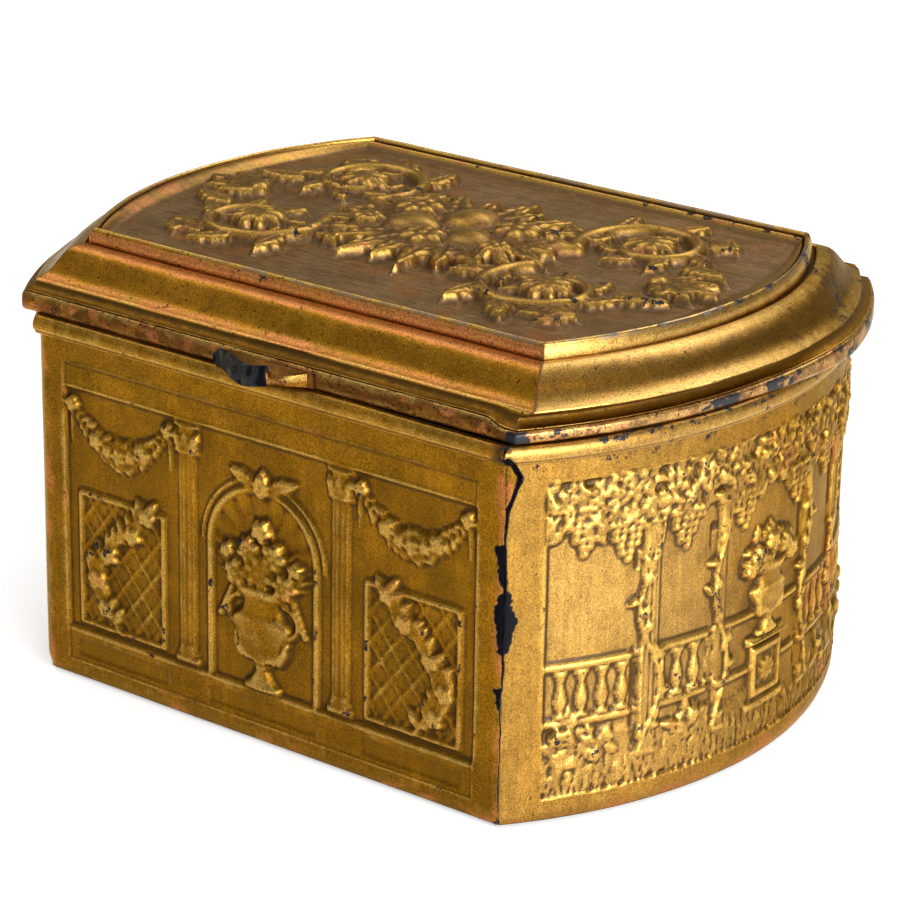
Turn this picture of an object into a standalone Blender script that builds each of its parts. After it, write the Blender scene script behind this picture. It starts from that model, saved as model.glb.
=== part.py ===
# Tin money box with a hinged lid, pressed from sheet and seamed at its corners.
# Units are metres and +Z is up. The front faces -Y and the origin is the centre of the base.

import math

import bmesh
import bpy
from mathutils import Vector

# Body
BODY_LENGTH = 0.0900        # front panel, corner to corner
BODY_DEPTH = 0.0900         # front face to back face
BODY_HEIGHT = 0.0597        # base to the top of the rim band
END_BOW = 0.0154            # how far each end swells past the corners
SHEET = 0.0008              # thickness of the pressed sheet
FIT_GAP = 0.0003            # clearance between pieces that meet

# Pressed panels
BORDER = 0.0029             # flat frame above and below each panel
SIDE_BORDER = 0.0045        # flat frame beside each panel
FRAME_STEP = 0.0009         # depth of the field behind the frame
DRAFT = 0.0004              # width of a pressed slope
FOOT_ROLL = 0.0005          # how far the bottom edge curls in
FOOT_ROLL_HEIGHT = 0.0012
FLOOR_LIFT = 0.0003         # panels stand this far above the base
RELIEF = 0.0006             # height of pilasters and posts over the field
PILASTER_WIDTH = 0.0036
PILASTER_OFFSET = 0.0150    # pilaster centre from the middle of the panel
PLINTH_HEIGHT = 0.0060
FRIEZE_HEIGHT = 0.0045
POST_ANGLE = math.radians(20.0)
POST_WIDTH = 0.0030
CANOPY_HEIGHT = 0.0088      # leaves over the posts of the ends
CANOPY_RELIEF = 0.0011
HEDGE_HEIGHT = 0.0080       # bushes along the foot of the ends
HEDGE_RELIEF = 0.0008
URN_RELIEF = 0.0016
URN_WIDTH = 0.0115          # urn on the front
URN_HEIGHT = 0.0170
BOUQUET_WIDTH = 0.0150
BOUQUET_HEIGHT = 0.0120
END_URN_WIDTH = 0.0090      # urn on each end, on a pedestal
END_URN_HEIGHT = 0.0115
END_BOUQUET_WIDTH = 0.0110
END_BOUQUET_HEIGHT = 0.0056
PEDESTAL_WIDTH = 0.0088
PEDESTAL_HEIGHT = 0.0110
# Urn outline from foot to lip: share of its height, share of its width.
URN_OUTLINE = ((0.0, 0.60), (0.06, 0.60), (0.22, 0.22), (0.62, 1.0), (0.80, 0.64), (1.0, 0.90))

# Rim band on top of the front and the ends
BAND_HEIGHT = 0.0030
BAND_SWELL = 0.0009

# Tray bottom and corner strips
STRIP_THICKNESS = 0.0006
STRIP_SETBACK = 0.0011      # strip leg ends this far before the panel field
FLANGE_SETBACK = 0.0005     # tray flange ends this far before the panel field

# Lid
LID_GAP = 0.0003            # lid over the body when shut
LID_FRONT_OVERHANG = 0.0004
LID_END_OVERHANG = 0.0035
RIM_HEIGHT = 0.0026
RIM_THICKNESS = 0.0012
RIM_ROUND = 0.0004
LEDGE_INSET = 0.0005        # outer edge of the ledge behind the rim face
LEDGE_LIP = 0.0003
COVE_WIDTH = 0.0015
COVE_HEIGHT = 0.0009
STEP_HEIGHT = 0.0004
CYMA_WIDTH = 0.0070
CYMA_HEIGHT = 0.0049
GROOVE_WIDTH = 0.0006
GROOVE_DEPTH = 0.0004
SHOULDER_FLAT = 0.0003
BEAD_WIDTH = 0.0013
BEAD_HEIGHT = 0.0027        # top of the bead over the groove bottom
PANEL_SEAT = 0.0020         # ledge that carries the top panel
PANEL_RECESS = 0.0006       # top panel below the bead
HEAP_LENGTH = 0.0320        # fruit and flowers in the middle of the top panel
HEAP_DEPTH = 0.0240
HEAP_HEIGHT = 0.0022
SCROLL_RADIUS = 0.0094      # scroll in each quarter of the top panel
SCROLL_WIDTH = 0.0032
SCROLL_HEIGHT = 0.0015
SCROLL_SIDE_MARGIN = 0.0090 # scroll to the long edges of the panel
SCROLL_END_MARGIN = 0.0040  # scroll to the corners of the panel
ROSETTE_WIDTH = 0.0084
ROSETTE_HEIGHT = 0.0016
PALMETTE_LENGTH = 0.0100    # spray of leaves at each end of the panel
PALMETTE_WIDTH = 0.0130
PALMETTE_HEIGHT = 0.0011
PALMETTE_MARGIN = 0.0025

# Thumb lift
LIFT_WIDTH = 0.0182
LIFT_REACH = 0.0045

# Hinge
LEAF_THICKNESS = 0.0006
BODY_LEAF_HEIGHT = 0.0090
LEAF_END_SETBACK = 0.0020   # leaf ends inside the back corners
BARREL_RADIUS = 0.0020
BARREL_LENGTH = 0.0880
KNUCKLES = 5
PIN_RADIUS = 0.0006
PIN_HEAD_RADIUS = 0.0016
PIN_HEAD = 0.0008
LEAF_CLEARANCE = 0.0002     # barrel to the outer face of the leaves
AXIS_HEIGHT = 0.0014        # hinge axis over the lid's lower edge
WEB_THICKNESS = 0.0008
WEB_INSET = 0.0002          # web inside the edge of its leaf

# Facets
END_SEGMENTS = 20
ROUND_SEGMENTS = 24
CURVE_STEPS = 10
COVE_STEPS = 4
BAND_STEPS = 8
LIFT_STEPS = 20
FOOT_STEPS = 3
RELIEF_STEPS = 6
MOUND_STEPS = 3
MOUND_SEGMENTS = 16

# Places that follow from the sizes
HALF_LENGTH = BODY_LENGTH / 2
HALF_DEPTH = BODY_DEPTH / 2
END_RADIUS = (HALF_DEPTH ** 2 + END_BOW ** 2) / (2 * END_BOW)
END_CENTRE = HALF_LENGTH + END_BOW - END_RADIUS
END_ANGLE = math.asin(HALF_DEPTH / END_RADIUS)
MITRE = 1 / math.tan((math.pi / 2 + END_ANGLE) / 2)
WALL_TOP = BODY_HEIGHT - BAND_HEIGHT - FIT_GAP
LID_BASE = BODY_HEIGHT + LID_GAP
BACK_FACE = HALF_DEPTH + FIT_GAP
BORE_RADIUS = PIN_RADIUS + FIT_GAP
AXIS_Y = BACK_FACE + LEAF_THICKNESS + LEAF_CLEARANCE + BARREL_RADIUS
AXIS_Z = LID_BASE + AXIS_HEIGHT

TIN_GOLD = (0.47, 0.31, 0.08)
TIN_DARK = (0.30, 0.20, 0.07)
TIN_BROWN = (0.26, 0.17, 0.08)
TIN_BARE = (0.20, 0.20, 0.19)


def clear_scene():
    for thing in list(bpy.data.objects):
        bpy.data.objects.remove(thing)


def lacquer(name, colour, roughness):
    material = bpy.data.materials.new(name)
    material.use_nodes = True
    shader = material.node_tree.nodes["Principled BSDF"]
    shader.inputs["Base Color"].default_value = (*colour, 1.0)
    shader.inputs["Metallic"].default_value = 0.9
    shader.inputs["Roughness"].default_value = roughness
    return material


def finish_object(name, shape, colour, roughness=0.4, pivot=None):
    # Turns a bmesh into a named object, with its origin on the pivot where it has one.
    bmesh.ops.recalc_face_normals(shape, faces=shape.faces)
    if pivot is not None:
        bmesh.ops.translate(shape, vec=-pivot.location, verts=shape.verts)
    mesh = bpy.data.meshes.new(name)
    shape.to_mesh(mesh)
    shape.free()
    mesh.shade_smooth()
    mesh.set_sharp_from_angle(angle=math.radians(35.0))
    thing = bpy.data.objects.new(name, mesh)
    bpy.context.scene.collection.objects.link(thing)
    mesh.materials.append(lacquer(name + "_lacquer", colour, roughness))
    if pivot is not None:
        thing.parent = pivot
    return thing


# Plan of the box: straight front and back, bowed ends

def end_point(angle, offset, side=1):
    reach = END_RADIUS + offset
    return (side * (END_CENTRE + reach * math.cos(angle)), reach * math.sin(angle))


def end_arc(offset, front, back, side=1):
    # Points of one end from depth front to depth back, moved outwards by the offset.
    reach = END_RADIUS + offset
    first = math.asin(front / reach)
    last = math.asin(back / reach)
    count = END_SEGMENTS
    return [end_point(first + (last - first) * step / count, offset, side) for step in range(count + 1)]


def plan_loop(front, back, ends):
    # Closed outline of the box with its front, back and ends moved outwards.
    right = end_arc(ends, -HALF_DEPTH - front, HALF_DEPTH + back)
    return right + [(-x, y) for x, y in reversed(right)]


def lid_loop(inset):
    return plan_loop(LID_FRONT_OVERHANG - inset, -inset, LID_END_OVERHANG - inset)


# Ways of making a solid

def join_rings(shape, rings, closed):
    # Bridges rows of vertices; each row is a loop where closed is set, otherwise a strip.
    for lower, upper in zip(rings, rings[1:]):
        count = len(lower)
        for here in range(count if closed else count - 1):
            after = (here + 1) % count
            shape.faces.new((lower[here], lower[after], upper[after], upper[here]))


def sweep_ring(profile, loop_at):
    # Carries a closed profile of (inset, height) once around the outline.
    shape = bmesh.new()
    rings = []
    for inset, height in profile:
        rings.append([shape.verts.new((x, y, height)) for x, y in loop_at(inset)])
    join_rings(shape, rings + rings[:1], True)
    return shape


def sweep_path(profile, path_at):
    # Carries a closed profile along an open path and caps both ends.
    shape = bmesh.new()
    rings = []
    for inset, height in profile:
        rings.append([shape.verts.new((x, y, height)) for x, y in path_at(inset)])
    join_rings(shape, rings + rings[:1], False)
    shape.faces.new([ring[0] for ring in rings])
    shape.faces.new([ring[-1] for ring in reversed(rings)])
    return shape


def extrude_outline(outline, bottom, top):
    shape = bmesh.new()
    rings = []
    for height in (bottom, top):
        rings.append([shape.verts.new((x, y, height)) for x, y in outline])
    join_rings(shape, rings, True)
    shape.faces.new(list(reversed(rings[0])))
    shape.faces.new(rings[1])
    return shape


def box(low, high):
    outline = [(low[0], low[1]), (high[0], low[1]), (high[0], high[1]), (low[0], high[1])]
    return extrude_outline(outline, low[2], high[2])


def pressed_sheet(columns, rows, place, height):
    # A sheet of even thickness: place gives a point from along, up and outward distances.
    shape = bmesh.new()
    faces = []
    for depth in (0.0, -SHEET):
        grid = []
        for up in rows:
            grid.append([shape.verts.new(place(along, up, height(along, up) + depth)) for along in columns])
        join_rings(shape, grid, False)
        faces.append(grid)
    outer, inner = faces
    rims = [[outer[0], inner[0]], [outer[-1], inner[-1]]]
    rims.append([[row[0] for row in outer], [row[0] for row in inner]])
    rims.append([[row[-1] for row in outer], [row[-1] for row in inner]])
    for rim in rims:
        join_rings(shape, rim, False)
    return shape


# Pressed relief: raised rectangles (left, right, bottom, top, height) over a recessed field

def raised(along, up, patch):
    left, right, bottom, top, height = patch
    inside = min(along - left, right - along, up - bottom, top - up)
    return height * max(0.0, min(1.0, inside / DRAFT))


def relief_height(patches):
    def height(along, up):
        lift = max(raised(along, up, patch) for patch in patches)
        foot = max(0.0, 1.0 - (up - FLOOR_LIFT) / FOOT_ROLL_HEIGHT)
        return lift - FRAME_STEP - FOOT_ROLL * foot ** 2
    return height


def grid_lines(low, high, edges, extra=()):
    # Lines for the pressed edges and their slopes, between the ends of the sheet.
    lines = [low, high, *extra]
    for near, far in edges:
        lines.extend((near, near + DRAFT, far - DRAFT, far))
    inside = sorted(line for line in lines if low <= line <= high)
    kept = inside[:1]
    for line in inside[1:]:
        if line - kept[-1] > DRAFT / 20:
            kept.append(line)
    return kept


def frame_patches(half_width, top, top_border):
    # The flat frame around a panel, reaching past its edges so that it stays flat there.
    past = DRAFT * 2
    low = FLOOR_LIFT
    return [
        (-half_width - past, -half_width + SIDE_BORDER, low - past, top + past, FRAME_STEP),
        (half_width - SIDE_BORDER, half_width + past, low - past, top + past, FRAME_STEP),
        (-half_width - past, half_width + past, low - past, low + BORDER, FRAME_STEP),
        (-half_width - past, half_width + past, top - top_border, top + past, FRAME_STEP),
    ]


def sheet_rows(patches, top):
    foot = [FLOOR_LIFT + FOOT_ROLL_HEIGHT * step / FOOT_STEPS for step in range(1, FOOT_STEPS + 1)]
    return grid_lines(FLOOR_LIFT, top, [patch[2:4] for patch in patches], foot)


def field_edges(top, top_border):
    return FLOOR_LIFT + BORDER, top - top_border


def urn_levels(base, wide, tall, bouquet_wide, bouquet_tall):
    # Heights and half widths of an urn and of the rounded bouquet above it.
    levels = [(base + tall * up, wide / 2 * across) for up, across in URN_OUTLINE]
    for step in range(1, RELIEF_STEPS):
        turn = math.pi * step / RELIEF_STEPS
        rise = bouquet_tall / 2 * (1 - math.cos(turn))
        levels.append((base + tall + rise, bouquet_wide / 2 * math.sin(turn)))
    return levels


def raised_stack(levels, place):
    # Half-round relief that stands on the field and reaches halfway into the sheet.
    shape = bmesh.new()
    widest = max(half for up, half in levels)
    rings = []
    for up, half in levels:
        swell = URN_RELIEF * (half / widest) ** 0.5
        ring = [place(half, up, -FRAME_STEP - SHEET / 2), place(-half, up, -FRAME_STEP - SHEET / 2)]
        for step in range(RELIEF_STEPS + 1):
            turn = math.pi * step / RELIEF_STEPS
            ring.append(place(-half * math.cos(turn), up, -FRAME_STEP + swell * math.sin(turn)))
        rings.append([shape.verts.new(point) for point in ring])
    join_rings(shape, rings, True)
    shape.faces.new(list(reversed(rings[0])))
    shape.faces.new(rings[-1])
    return shape


def flat_panel(name, side, top, top_border, motif, stack=()):
    # Front (side -1) or back (side 1) panel, mitred where it meets the ends.
    half = HALF_LENGTH - FIT_GAP
    patches = frame_patches(half, top, top_border) + motif
    columns = grid_lines(-half, half, [patch[:2] for patch in patches])

    def place(along, up, out):
        reach = (half + out * MITRE) / half
        return (along * reach, side * (HALF_DEPTH + out), up)

    shape = pressed_sheet(columns, sheet_rows(patches, top), place, relief_height(patches))
    panel = finish_object(name, shape, TIN_GOLD)
    if stack:
        combine(panel, raised_stack(stack, place), name + "_urn_tool", "UNION")
    return panel


def front_urn():
    base = field_edges(WALL_TOP, BORDER)[0] + PLINTH_HEIGHT - DRAFT
    return urn_levels(base, URN_WIDTH, URN_HEIGHT, BOUQUET_WIDTH, BOUQUET_HEIGHT)


def front_motif():
    # Plinth, frieze and two pilasters that divide the front into three bays.
    low, high = field_edges(WALL_TOP, BORDER)
    half = HALF_LENGTH - FIT_GAP - SIDE_BORDER
    patches = [
        (-half, half, low, low + PLINTH_HEIGHT, RELIEF),
        (-half, half, high - FRIEZE_HEIGHT, high, RELIEF),
    ]
    for side in (-1, 1):
        centre = side * PILASTER_OFFSET
        patches.append((centre - PILASTER_WIDTH / 2, centre + PILASTER_WIDTH / 2, low, high, RELIEF))
    return patches


def end_panel(name, side):
    # Bowed end with two posts between bushes and leaves, and an urn in the middle.
    half = END_RADIUS * END_ANGLE - FIT_GAP
    low, high = field_edges(WALL_TOP, BORDER)
    inner = half - SIDE_BORDER
    patches = frame_patches(half, WALL_TOP, BORDER)
    patches.append((-inner, inner, low, low + HEDGE_HEIGHT, HEDGE_RELIEF))
    patches.append((-inner, inner, high - CANOPY_HEIGHT, high, CANOPY_RELIEF))
    for turn in (-1, 1):
        centre = turn * END_RADIUS * POST_ANGLE
        patches.append((centre - POST_WIDTH / 2, centre + POST_WIDTH / 2, low, high, RELIEF))
    facets = [-half + 2 * half * step / END_SEGMENTS for step in range(END_SEGMENTS + 1)]
    columns = grid_lines(-half, half, [patch[:2] for patch in patches], facets)

    def place(along, up, out):
        reach = (half + out * MITRE) / half
        x, y = end_point(along * reach / END_RADIUS, out, side)
        return (x, y, up)

    shape = pressed_sheet(columns, sheet_rows(patches, WALL_TOP), place, relief_height(patches))
    panel = finish_object(name, shape, TIN_GOLD)
    foot = low + HEDGE_HEIGHT - DRAFT
    top = foot + PEDESTAL_HEIGHT
    stack = [(foot, PEDESTAL_WIDTH / 2), (top, PEDESTAL_WIDTH / 2)]
    urn = urn_levels(top, END_URN_WIDTH, END_URN_HEIGHT, END_BOUQUET_WIDTH, END_BOUQUET_HEIGHT)
    stack += [(up + DRAFT, half) for up, half in urn]
    combine(panel, raised_stack(stack, place), name + "_urn_tool", "UNION")
    return panel


def bottom_tray():
    # Flat bottom with a turned-up flange that is soldered inside the walls.
    wall = SHEET + FOOT_ROLL + FIT_GAP
    flange = FLOOR_LIFT + BORDER - FLANGE_SETBACK
    shape = bmesh.new()
    rings = []
    for inset, height in ((wall, 0.0), (wall, flange), (wall + SHEET, flange), (wall + SHEET, SHEET)):
        rings.append([shape.verts.new((x, y, height)) for x, y in plan_loop(-inset, -inset, -inset)])
    join_rings(shape, rings, True)
    shape.faces.new(list(reversed(rings[0])))
    shape.faces.new(rings[-1])
    return finish_object("bottom_tray", shape, TIN_DARK, 0.5)


def rim_band():
    # Half-round band on the top edge of the front and the ends, open at the back.
    bottom = BODY_HEIGHT - BAND_HEIGHT
    profile = [(SHEET, BODY_HEIGHT), (SHEET, bottom)]
    for step in range(BAND_STEPS + 1):
        turn = math.pi * step / BAND_STEPS - math.pi / 2
        height = bottom + BAND_HEIGHT / 2 * (1 + math.sin(turn))
        profile.append((-BAND_SWELL * math.cos(turn), height))
    stop = HALF_DEPTH - SHEET - FIT_GAP

    def path_at(inset):
        right = end_arc(-inset, -HALF_DEPTH + inset, stop)
        return [(-x, y) for x, y in reversed(right)] + right

    return finish_object("body_rim_band", sweep_path(profile, path_at), TIN_GOLD)


def corner_strips():
    # Folded strips behind the four corner seams.
    near = SHEET + FIT_GAP
    far = near + STRIP_THICKNESS
    leg = SIDE_BORDER - STRIP_SETBACK
    bottom = FLOOR_LIFT + BORDER - FLANGE_SETBACK + FIT_GAP

    def bend(inset):
        reach = END_RADIUS - inset
        corner = math.asin((HALF_DEPTH - inset) / reach)
        x, y = end_point(corner, -inset)
        return [(x - leg, y), (x, y), end_point(corner - leg / reach, -inset)]

    outline = bend(near) + list(reversed(bend(far)))
    for depth, word in ((-1, "front"), (1, "back")):
        for side, end in ((-1, "left"), (1, "right")):
            shape = extrude_outline([(side * x, depth * y) for x, y in outline], bottom, WALL_TOP)
            finish_object(f"{word}_{end}_corner_strip", shape, TIN_DARK, 0.5)


def lid_rim(pivot):
    top = LID_BASE + RIM_HEIGHT
    profile = [
        (RIM_THICKNESS, top),
        (RIM_THICKNESS, LID_BASE),
        (RIM_ROUND, LID_BASE),
        (RIM_ROUND * 0.3, LID_BASE + RIM_ROUND * 0.3),
        (0.0, LID_BASE + RIM_ROUND),
        (0.0, top - RIM_ROUND),
        (RIM_ROUND * 0.3, top - RIM_ROUND * 0.3),
        (RIM_ROUND, top),
    ]
    return finish_object("lid_rim_band", sweep_ring(profile, lid_loop), TIN_DARK, 0.45, pivot)


def cyma(start, end, drop=0.0):
    # S curve from the flare at the bottom to the shoulder at the top.
    first = (start[0] + CYMA_WIDTH * 0.6, start[1] + CYMA_HEIGHT * 0.08)
    second = (end[0] - CYMA_WIDTH * 0.57, end[1])
    points = []
    for step in range(CURVE_STEPS + 1):
        t = step / CURVE_STEPS
        weights = ((1 - t) ** 3, 3 * t * (1 - t) ** 2, 3 * t * t * (1 - t), t ** 3)
        mix = [sum(w * p[axis] for w, p in zip(weights, (start, first, second, end))) for axis in (0, 1)]
        points.append((mix[0] + drop * 0.75, mix[1] - drop))
    return points


def moulding_levels():
    # Insets and heights of the lid moulding, from the rim band to the bead.
    skirt = RIM_THICKNESS + FIT_GAP
    ledge = LID_BASE + RIM_HEIGHT + FIT_GAP
    cove_top = ledge + LEDGE_LIP + COVE_HEIGHT
    flare = (LEDGE_INSET + COVE_WIDTH, cove_top + STEP_HEIGHT)
    shoulder = (flare[0] + CYMA_WIDTH, flare[1] + CYMA_HEIGHT)
    bead = (shoulder[0] + SHOULDER_FLAT + GROOVE_WIDTH, shoulder[1] - GROOVE_DEPTH)
    return skirt, ledge, flare, shoulder, bead


def lid_top_level():
    # Inset of the top panel's edge and height of its face.
    bead = moulding_levels()[-1]
    return bead[0] + BEAD_WIDTH + FIT_GAP, bead[1] + BEAD_HEIGHT - PANEL_RECESS


def lid_moulding(pivot):
    skirt, ledge, flare, shoulder, bead = moulding_levels()
    bead_top = bead[1] + BEAD_HEIGHT
    bead_round = BEAD_WIDTH / 2
    seat = lid_top_level()[1] - SHEET - FIT_GAP
    skirt_bottom = LID_BASE + FIT_GAP
    outside = [(skirt, skirt_bottom), (skirt, ledge), (LEDGE_INSET, ledge), (LEDGE_INSET, ledge + LEDGE_LIP)]
    for step in range(1, COVE_STEPS + 1):
        turn = math.pi / 2 * step / COVE_STEPS
        rise = ledge + LEDGE_LIP + COVE_HEIGHT * (1 - math.cos(turn))
        outside.append((LEDGE_INSET + COVE_WIDTH * math.sin(turn), rise))
    outside += cyma(flare, shoulder)
    outside += [(shoulder[0] + SHOULDER_FLAT, shoulder[1]), (shoulder[0] + SHOULDER_FLAT, bead[1]), bead]
    for step in range(BAND_STEPS + 1):
        turn = math.pi * step / BAND_STEPS
        across = bead[0] + bead_round * (1 - math.cos(turn))
        outside.append((across, bead_top - bead_round * (1 - math.sin(turn))))
    outside += [(bead[0] + BEAD_WIDTH, seat), (bead[0] + BEAD_WIDTH + PANEL_SEAT, seat)]
    under = seat - SHEET
    inside = [(bead[0] + BEAD_WIDTH + PANEL_SEAT, under), (bead[0] + SHEET, under)]
    inside += list(reversed(cyma(flare, shoulder, SHEET)))
    inside += [(skirt + SHEET, flare[1] - SHEET - COVE_HEIGHT / 2), (skirt + SHEET, skirt_bottom)]
    return finish_object("lid_moulding", sweep_ring(outside + inside, lid_loop), TIN_GOLD, 0.4, pivot)


def mound(centre, length, depth, face, height):
    # Low oval boss that grips the sheet and draws in as it rises.
    shape = bmesh.new()
    pitch = math.pi / 2 / (MOUND_STEPS + 1)
    peak = math.sin(pitch * MOUND_STEPS)
    levels = [(1.0, face - SHEET / 2)]
    for step in range(MOUND_STEPS + 1):
        levels.append((math.cos(pitch * step), face + height * math.sin(pitch * step) / peak))
    rings = []
    for share, level in levels:
        ring = []
        for step in range(MOUND_SEGMENTS):
            turn = 2 * math.pi * step / MOUND_SEGMENTS
            x = centre[0] + length / 2 * share * math.cos(turn)
            y = centre[1] + depth / 2 * share * math.sin(turn)
            ring.append(shape.verts.new((x, y, level)))
        rings.append(ring)
    join_rings(shape, rings, True)
    shape.faces.new(list(reversed(rings[0])))
    shape.faces.new(rings[-1])
    return shape


def scroll(centre, face):
    # Half-round ring that grips the sheet.
    profile = [(SCROLL_WIDTH / 2, face - SHEET / 2), (-SCROLL_WIDTH / 2, face - SHEET / 2)]
    for step in range(RELIEF_STEPS + 1):
        turn = math.pi * step / RELIEF_STEPS
        profile.append((-SCROLL_WIDTH / 2 * math.cos(turn), face + SCROLL_HEIGHT * math.sin(turn)))

    def loop_at(offset):
        turns = [2 * math.pi * step / ROUND_SEGMENTS for step in range(ROUND_SEGMENTS)]
        reach = SCROLL_RADIUS + offset
        return [(centre[0] + reach * math.cos(turn), centre[1] + reach * math.sin(turn)) for turn in turns]

    return sweep_ring(profile, loop_at)


def lid_panel(pivot):
    # Top sheet in its seat, with its heap, scrolls, rosettes and palmettes.
    edge, face = lid_top_level()
    panel = finish_object("lid_top_panel", extrude_outline(lid_loop(edge), face - SHEET, face), TIN_BROWN, 0.5, pivot)
    half_depth = HALF_DEPTH - edge
    corner = end_arc(LID_END_OVERHANG - edge, -half_depth, half_depth)[0][0]
    tip = end_point(0.0, LID_END_OVERHANG - edge)[0]
    scroll_reach = SCROLL_RADIUS + SCROLL_WIDTH / 2
    bosses = [(0.0, 0.0, HEAP_LENGTH, HEAP_DEPTH, HEAP_HEIGHT)]
    for side in (-1, 1):
        end = side * (tip - PALMETTE_MARGIN - PALMETTE_LENGTH / 2)
        bosses.append((end, 0.0, PALMETTE_LENGTH, PALMETTE_WIDTH, PALMETTE_HEIGHT))
        for row in (-1, 1):
            x = side * (corner - SCROLL_END_MARGIN - scroll_reach)
            y = row * (half_depth - SCROLL_SIDE_MARGIN - scroll_reach)
            bosses.append((x, y, ROSETTE_WIDTH, ROSETTE_WIDTH, ROSETTE_HEIGHT))
            combine(panel, scroll((x, y), face), f"scroll_tool_{side}_{row}", "UNION", pivot)
    for count, (x, y, length, depth, height) in enumerate(bosses):
        combine(panel, mound((x, y), length, depth, face, height), f"boss_tool_{count}", "UNION", pivot)
    return panel


def thumb_lift(pivot):
    # Bow-shaped lip in front of the rim that the thumb pushes up.
    back = -HALF_DEPTH - LID_FRONT_OVERHANG - FIT_GAP
    outline = []
    for step in range(LIFT_STEPS + 1):
        along = -1 + 2 * step / LIFT_STEPS
        swell = 0.5 + 0.5 * math.cos(math.pi * along)
        outline.append((along * LIFT_WIDTH / 2, back - RIM_ROUND - LIFT_REACH * swell))
    outline += [(LIFT_WIDTH / 2, back), (-LIFT_WIDTH / 2, back)]
    shape = extrude_outline(outline, LID_BASE, LID_BASE + RIM_HEIGHT)
    return finish_object("thumb_lift", shape, TIN_BARE, 0.45, pivot)


# Hinge

def turned(profile):
    # Solid turned around the hinge axis from (place along X, radius) pairs.
    shape = bmesh.new()
    rings = []
    for x, radius in profile:
        ring = []
        for step in range(ROUND_SEGMENTS):
            turn = 2 * math.pi * step / ROUND_SEGMENTS
            ring.append(shape.verts.new((x, AXIS_Y + radius * math.cos(turn), AXIS_Z + radius * math.sin(turn))))
        rings.append(ring)
    join_rings(shape, rings, True)
    shape.faces.new(list(reversed(rings[0])))
    shape.faces.new(rings[-1])
    return shape


def combine(thing, shape, name, operation, pivot=None):
    # Adds a hidden tool to a piece, or cuts it out.
    tool = finish_object(name, shape, TIN_DARK, 0.4, pivot)
    tool.hide_render = True
    tool.display_type = "WIRE"
    modifier = thing.modifiers.new(name, "BOOLEAN")
    modifier.operation = operation
    modifier.solver = "EXACT"
    modifier.object = tool


def knuckle_web(left, right, top):
    # Arm from the plate to the barrel, turned up where the barrel lies above it.
    root = BACK_FACE + LEAF_THICKNESS / 2
    low = top - WEB_THICKNESS
    outline = [(root, low), (AXIS_Y, low), (AXIS_Y, top), (root, top)]
    if top < AXIS_Z:
        riser = AXIS_Y - WEB_THICKNESS
        outline[2:3] = [(AXIS_Y, AXIS_Z), (riser, AXIS_Z), (riser, top)]
    shape = bmesh.new()
    rings = []
    for x in (left, right):
        rings.append([shape.verts.new((x, y, z)) for y, z in outline])
    join_rings(shape, rings, True)
    shape.faces.new(list(reversed(rings[0])))
    shape.faces.new(rings[1])
    return shape


def hinge_leaf(name, low, high, first, pivot=None):
    # Plate with every second knuckle on a web under its top edge, bored for the pin.
    half = HALF_LENGTH - LEAF_END_SETBACK
    plate = box((-half, BACK_FACE, low), (half, BACK_FACE + LEAF_THICKNESS, high))
    leaf = finish_object(name, plate, TIN_DARK, 0.4, pivot)
    pitch = (BARREL_LENGTH + FIT_GAP) / KNUCKLES
    web_top = high - WEB_INSET
    for number in range(first, KNUCKLES, 2):
        start = -BARREL_LENGTH / 2 + number * pitch
        end = start + pitch - FIT_GAP
        tube = turned([(start, BARREL_RADIUS), (end, BARREL_RADIUS)])
        combine(leaf, tube, f"{name}_tube_{number}", "UNION", pivot)
        left = max(start, -half) + WEB_INSET
        right = min(end, half) - WEB_INSET
        combine(leaf, knuckle_web(left, right, web_top), f"{name}_web_{number}", "UNION", pivot)
    reach = BARREL_LENGTH / 2 + BARREL_RADIUS
    bore = turned([(-reach, BORE_RADIUS), (reach, BORE_RADIUS)])
    combine(leaf, bore, f"{name}_bore", "DIFFERENCE", pivot)
    return leaf


def hinge_pin():
    # Pin with a peened head at each end of the barrel.
    half = BARREL_LENGTH / 2 + FIT_GAP
    dome = PIN_HEAD * 0.45
    profile = [
        (-half - PIN_HEAD, PIN_HEAD_RADIUS * 0.55),
        (-half - dome, PIN_HEAD_RADIUS),
        (-half, PIN_HEAD_RADIUS),
        (-half, PIN_RADIUS),
        (half, PIN_RADIUS),
        (half, PIN_HEAD_RADIUS),
        (half + dome, PIN_HEAD_RADIUS),
        (half + PIN_HEAD, PIN_HEAD_RADIUS * 0.55),
    ]
    return finish_object("hinge_pin", turned(profile), TIN_BARE, 0.35)


def build():
    clear_scene()
    flat_panel("front_panel", -1, WALL_TOP, BORDER, front_motif(), front_urn())
    flat_panel("back_panel", 1, BODY_HEIGHT, BORDER + BAND_HEIGHT + FIT_GAP, [])
    end_panel("left_end_panel", -1)
    end_panel("right_end_panel", 1)
    bottom_tray()
    rim_band()
    corner_strips()
    leaf_top = BODY_HEIGHT - FIT_GAP / 3
    hinge_leaf("body_hinge_leaf", leaf_top - BODY_LEAF_HEIGHT, leaf_top, 0)
    hinge_pin()

    pivot = bpy.data.objects.new("lid_pivot", None)
    pivot.location = Vector((0.0, AXIS_Y, AXIS_Z))
    bpy.context.scene.collection.objects.link(pivot)
    lid_rim(pivot)
    lid_moulding(pivot)
    lid_panel(pivot)
    thumb_lift(pivot)
    hinge_leaf("lid_hinge_leaf", LID_BASE, LID_BASE + RIM_HEIGHT, 1, pivot)


build()
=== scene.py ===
import math
import bpy
import numpy as np
from mathutils import Matrix, Vector


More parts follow.
